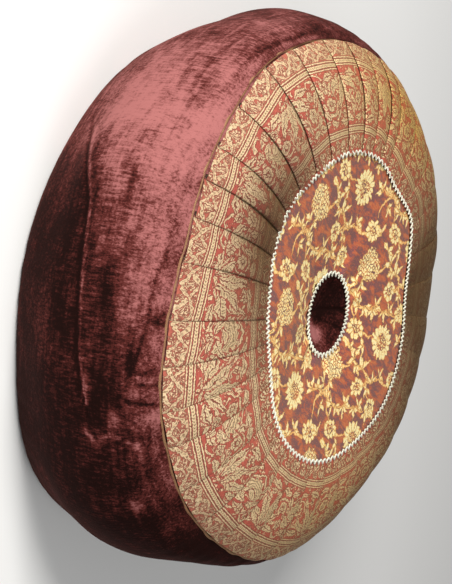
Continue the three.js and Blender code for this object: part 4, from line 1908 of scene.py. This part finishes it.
@dataclass
class FlowerDisc:
    """The flowered cloth inside the ring, drawn down to the dimple."""

    shape: CushionShape
    finish: FlowerFinish = FlowerFinish()
    columns: int = 540
    rows: int = 70
    draw_height: float = 0.0008
    draw_counts: tuple[int, ...] = (7, 11, 16, 23)
    draw_reach: float = 0.35
    wave_height: float = 0.0009
    wave_counts: tuple[int, ...] = (2, 3, 5)
    over_crown: float = 0.0015
    seed: int = 3

    def build(self) -> Piece:
        """Builds the disc.

        Returns:
            The piece.
        """
        angle = np.linspace(0, FULL_TURN, self.columns, endpoint=False)[None, :]
        across = np.linspace(1.0, 0.0, self.rows)[:, None]
        points = self.shape.disc_point(across, angle, self.folds(across, angle))
        finish = self.finish.material("flowered_cloth")
        piece = add_piece("flower_cloth", Grid(points), "flower_disc", Slot.FLOWERED, finish)
        return piece

    def folds(self, across: Array, angle: Array) -> Array:
        """Small draws towards the dimple, as lift over the crown.

        Args:
            across: 0 at the dimple and 1 at the ring.
            angle: angles in radians.

        Returns:
            Lift at each point.
        """
        rng = np.random.default_rng(self.seed)
        near = bump(across, self.draw_reach)
        lift = np.zeros(np.broadcast_shapes(across.shape, angle.shape))
        for count in self.draw_counts:
            height = self.draw_height * rng.uniform(0.4, 1)
            lift += height * np.sin(count * angle + rng.uniform(0, FULL_TURN)) * near
        for count in self.wave_counts:
            wave = np.sin(count * angle + rng.uniform(0, FULL_TURN))
            lift += self.wave_height * wave * np.sin(math.pi * across)
        return lift - self.shape.cloth + self.over_crown


@dataclass(frozen=True)
class SheenSpot:
    """A soft spot of painted sheen on the sunk centre, at millimetres from its middle, and its lean of the
    pile.
    """

    x: float
    y: float
    wide: float
    tall: float
    lean: float


@dataclass(frozen=True)
class Fold:
    """A fold across the sunk centre: where, how it slopes, how wide and its share of the depth."""

    at: float
    slope: float
    wide: float
    share: float


@dataclass
class SunkCentre:
    """The small velvet round sunk in the middle of the face."""

    shape: CushionShape
    finish: VelvetFinish = VelvetFinish(bias=-0.1)
    edge_gather: Ripple = Ripple(high=0.0007, count=9, phase=2)
    rim_gather: Ripple = Ripple(high=0.0005, count=14)
    fold_depth: float = 0.0012
    folds: tuple[Fold, ...] = (
        Fold(at=-3, slope=-0.12, wide=1.8, share=1.0),
        Fold(at=4, slope=0.2, wide=1.3, share=0.6),
    )
    sheen_spots: tuple[SheenSpot, ...] = (
        SheenSpot(x=13, y=-13, wide=7, tall=7, lean=1.35),
        SheenSpot(x=22, y=1, wide=8, tall=11, lean=1.7),
    )
    plain_lean: float = -0.55
    fold_shade_lean: float = -0.4
    columns: int = 200
    rows: int = 40

    def build(self) -> Piece:
        """Builds the centre.

        Returns:
            The piece.
        """
        angle = np.linspace(0, FULL_TURN, self.columns, endpoint=False)[None, :]
        across = np.linspace(1.0, 0.004, self.rows)[:, None]
        gathers = self.edge_gather.add(angle) * across + self.rim_gather.add(angle) * across**2
        x = across * np.cos(angle) * self.shape.dimple_radius / MM
        y = across * np.sin(angle) * self.shape.dimple_radius / MM
        fold = sum(f.share * bump(x - f.at - f.slope * y, f.wide) for f in self.folds)
        points = self.shape.centre_point(across, angle, gathers - self.fold_depth * fold)
        # Painted sheen, lighter towards one side and in the spots, and painted shade in the folds.
        lean = 0.5 * smooth(x, -4, 14) + self.plain_lean + self.fold_shade_lean * fold
        lean += sum(s.lean * bump(x - s.x, s.wide, y - s.y, s.tall) for s in self.sheen_spots)
        finish = self.finish.material("centre_velvet")
        piece = add_piece("sunk_centre", Grid(points, {"nap_and_painted_light": lean}), "centre_velvet", Slot.VELVET, finish)
        return piece


@dataclass
class WavyBraid:
    """A narrow wavy braid sewn over the joint of two cloths."""

    shape: CushionShape
    name: str
    node: str
    on_disc_edge: bool
    finish: Material
    clearance: float = 0.0019
    climb: float = 0.0
    pitch: float = 0.0062
    wave: float = 0.0020
    flatness: float = 0.11
    stretch: float = 0.3
    half_width: float = 0.00085
    sway: float = 0.0005
    thickness: float = 0.0009
    steps_per_wave: int = 16
    sides: int = 10

    def build(self) -> Piece:
        """Builds the braid.

        Returns:
            The piece.
        """
        radius = self.shape.disc_radius if self.on_disc_edge else self.shape.dimple_radius
        waves = round(FULL_TURN * radius / self.pitch)
        count = waves * self.steps_per_wave
        angle = np.linspace(0, FULL_TURN, count, endpoint=False)
        phase = waves * (angle - 0.5 * self.stretch * np.sin(2 * angle))
        swing = self.wave * (np.sin(phase) - self.flatness * np.sin(3 * phase))
        lean = np.cos(phase) * self.wave * waves * (1 - self.stretch * np.cos(2 * angle)) / radius
        square = np.sqrt(1 + lean**2)
        points, around = [], []
        for side in range(self.sides):
            turn = FULL_TURN * side / self.sides
            out = self.half_width * math.cos(turn)
            up = self.thickness * math.sin(turn) + self.sway * np.cos(phase)
            points.append(self.point(angle, swing + out / square, up, -out * lean / square))
            around.append(np.full(count, out / MM))
        run = angle * radius / MM
        grid = Grid(np.stack(points), {"run": run, "around": np.stack(around)}, closed_rows=True)
        return add_piece(self.name, grid, self.node, Slot.BRAID, self.finish)

    def point(self, angle: Array, outward: Array, up: Array, along: Array) -> Array:
        """Points near the cloths' joint.

        Args:
            angle: angles in radians.
            outward: distance out from the joint.
            up: height over the braid's own middle.
            along: distance along the joint.

        Returns:
            Points of the frame.
        """
        shape = self.shape
        if self.on_disc_edge:
            turned, rise, shift = angle + along / shape.disc_radius, shape.crown_rise, (0.0, 0.0)
            radius = shape.disc(turned) + outward
        else:
            turned, rise, shift = angle + along / shape.dimple_radius, shape.dimple_rise, shape.dimple_shift
            radius = shape.dimple_radius + outward
        height = shape.seam_height + rise + self.clearance + up + np.maximum(outward, 0) * self.climb
        return shape.placed(radius * np.cos(turned) + shift[0], radius * np.sin(turned) + shift[1], height)


@dataclass
class SeamPiping:
    """The thin folded edging along the seam between velvet and brocade."""

    shape: CushionShape
    finish: PipingFinish = PipingFinish()
    radius: float = 0.0014
    sink: float = 0.0016
    tucked_at: float = 165.0
    tuck: float = 0.0016
    wobbles: tuple[Ripple, ...] = (Ripple(high=0.0005, count=34), Ripple(high=0.0003, count=61, phase=1))
    columns: int = 900
    sides: int = 10

    def build(self) -> Piece:
        """Builds the piping.

        Returns:
            The piece.
        """
        angle = np.linspace(0, FULL_TURN, self.columns, endpoint=False)
        wobble = sum(wave.add(angle) for wave in self.wobbles)
        sink = self.sink + self.tuck * (0.5 + 0.5 * np.cos(angle - math.radians(self.tucked_at))) ** 2
        points, around = [], []
        for side in range(self.sides):
            turn = FULL_TURN * side / self.sides
            radius = self.shape.seam(angle) + wobble + self.radius * math.cos(turn)
            height = self.shape.seam_height - sink + self.radius * math.sin(turn)
            points.append(self.shape.placed(radius * np.cos(angle), radius * np.sin(angle), height))
            around.append(np.full(self.columns, side * FULL_TURN * self.radius / self.sides / MM))
        run = angle * self.shape.seam_radius / MM
        grid = Grid(np.stack(points), {"run": run, "around": np.stack(around)}, closed_rows=True)
        finish = self.finish.material("edging")
        return add_piece("seam_edging", grid, "seam_piping", Slot.PIPING, finish)


# Studio


@dataclass(frozen=True)
class Lamp:
    """A square soft light: where it hangs, its watts, its side and its colour."""

    name: str
    place: Triple
    power: float
    size: float
    colour: Colour = (1.0, 1.0, 1.0)


@dataclass
class Studio:
    """The pale floor, the soft lights and the camera at the photo's angle."""

    shape: CushionShape
    finish: FloorFinish = FloorFinish()
    floor_half: float = 6.0
    floor_drop: float = 0.0005
    lamps: tuple[Lamp, ...] = (
        Lamp(name="key", place=(-1.35, -1.55, 1.4), power=78.0, size=0.8, colour=(1.0, 0.98, 0.95)),
        Lamp(name="face_fill", place=(0.8, -1.1, 1.6), power=12.0, size=0.9),
    )
    lit_height: float = 0.12
    room_light: float = 0.22
    image: tuple[int, int] = (452, 584)
    focal_pixels: float = 1435.0
    distance: float = 1.485
    elevation: float = 27.31
    roll: float = 99.77
    aim: Pair = (0.00393, -0.10559)

    def floor(self) -> None:
        """Lays the pale floor."""
        mesh = bpy.data.meshes.new("floor")
        far = self.floor_half
        corners = [(-far, -far, 0), (far, -far, 0), (far, far, 0), (-far, far, 0)]
        mesh.from_pydata(corners, [], [(0, 1, 2, 3)])
        floor = put("floor", mesh)
        floor.location.z = -self.floor_drop
        mesh.materials.append(self.finish.material("pale_floor"))

    def light(self, lamp: Lamp) -> None:
        """Hangs a light that faces the cushion.

        Args:
            lamp: the light.
        """
        data = bpy.data.lights.new(lamp.name, "AREA")
        data.energy, data.size, data.color = lamp.power, lamp.size, lamp.colour
        light = put(lamp.name, data)
        light.location = lamp.place
        aim = Vector((0, 0, self.lit_height)) - Vector(lamp.place)
        light.rotation_euler = aim.to_track_quat("-Z", "Y").to_euler()

    def lights(self) -> None:
        """Hangs the lights and sets the room's own light."""
        for lamp in self.lamps:
            self.light(lamp)
        world = bpy.data.worlds.new("room")
        world.use_nodes = True
        background = world.node_tree.nodes["Background"]
        background.inputs["Color"].default_value = (1, 1, 1, 1)
        background.inputs["Strength"].default_value = self.room_light
        bpy.context.scene.world = world
        bpy.context.scene.view_settings.view_transform = "Standard"

    def camera(self) -> None:
        """Sets the camera at the photo's angle, distance and roll."""
        tilt, roll = math.radians(self.elevation), math.radians(self.roll)
        seam_middle = Vector((*self.shape.middle, self.shape.seam_height))
        eye = Vector((0, -math.cos(tilt), math.sin(tilt))) * self.distance
        target = Vector((self.aim[0], 0, self.aim[1]))
        forward = (target - eye).normalized()
        right = forward.cross(Vector((0, 0, 1))).normalized()
        up = right.cross(forward)
        side = math.cos(roll) * right + math.sin(roll) * up
        head = -math.sin(roll) * right + math.cos(roll) * up
        data = bpy.data.cameras.new("photo_camera")
        data.sensor_width = 36.0
        data.lens = self.focal_pixels * data.sensor_width / max(self.image)
        camera = put("photo_camera", data)
        turn = Matrix((side, head, -forward)).transposed()
        camera.matrix_world = Matrix.Translation(eye + seam_middle) @ turn.to_4x4()
        bpy.context.scene.camera = camera

    def build(self) -> None:
        """Builds the whole studio."""
        self.floor()
        self.lights()
        self.camera()


def main() -> None:
    """Builds and reports each piece in order, then sets up the studio."""
    logging.basicConfig(level=logging.INFO, format="%(name)s: %(message)s")
    shape = CushionShape()
    braid = BraidFinish().material("wavy_braid")
    parts = (
        VelvetCover(shape), BrocadePleats(shape), FlowerDisc(shape), SunkCentre(shape), SeamPiping(shape),
        WavyBraid(shape, "disc_edge_braid", "disc_braid", on_disc_edge=True, finish=braid),
        WavyBraid(
            shape, "centre_edge_braid", "centre_braid", on_disc_edge=False, finish=braid,
            clearance=0.0012, climb=0.22, pitch=0.0058, wave=0.0022,
        ),
    )
    for part in parts:
        piece = part.build()
        LOG.info("%s has %d faces", piece.name, len(piece.data.polygons))
    Studio(shape).build()


if __name__ == "__main__":
    main()
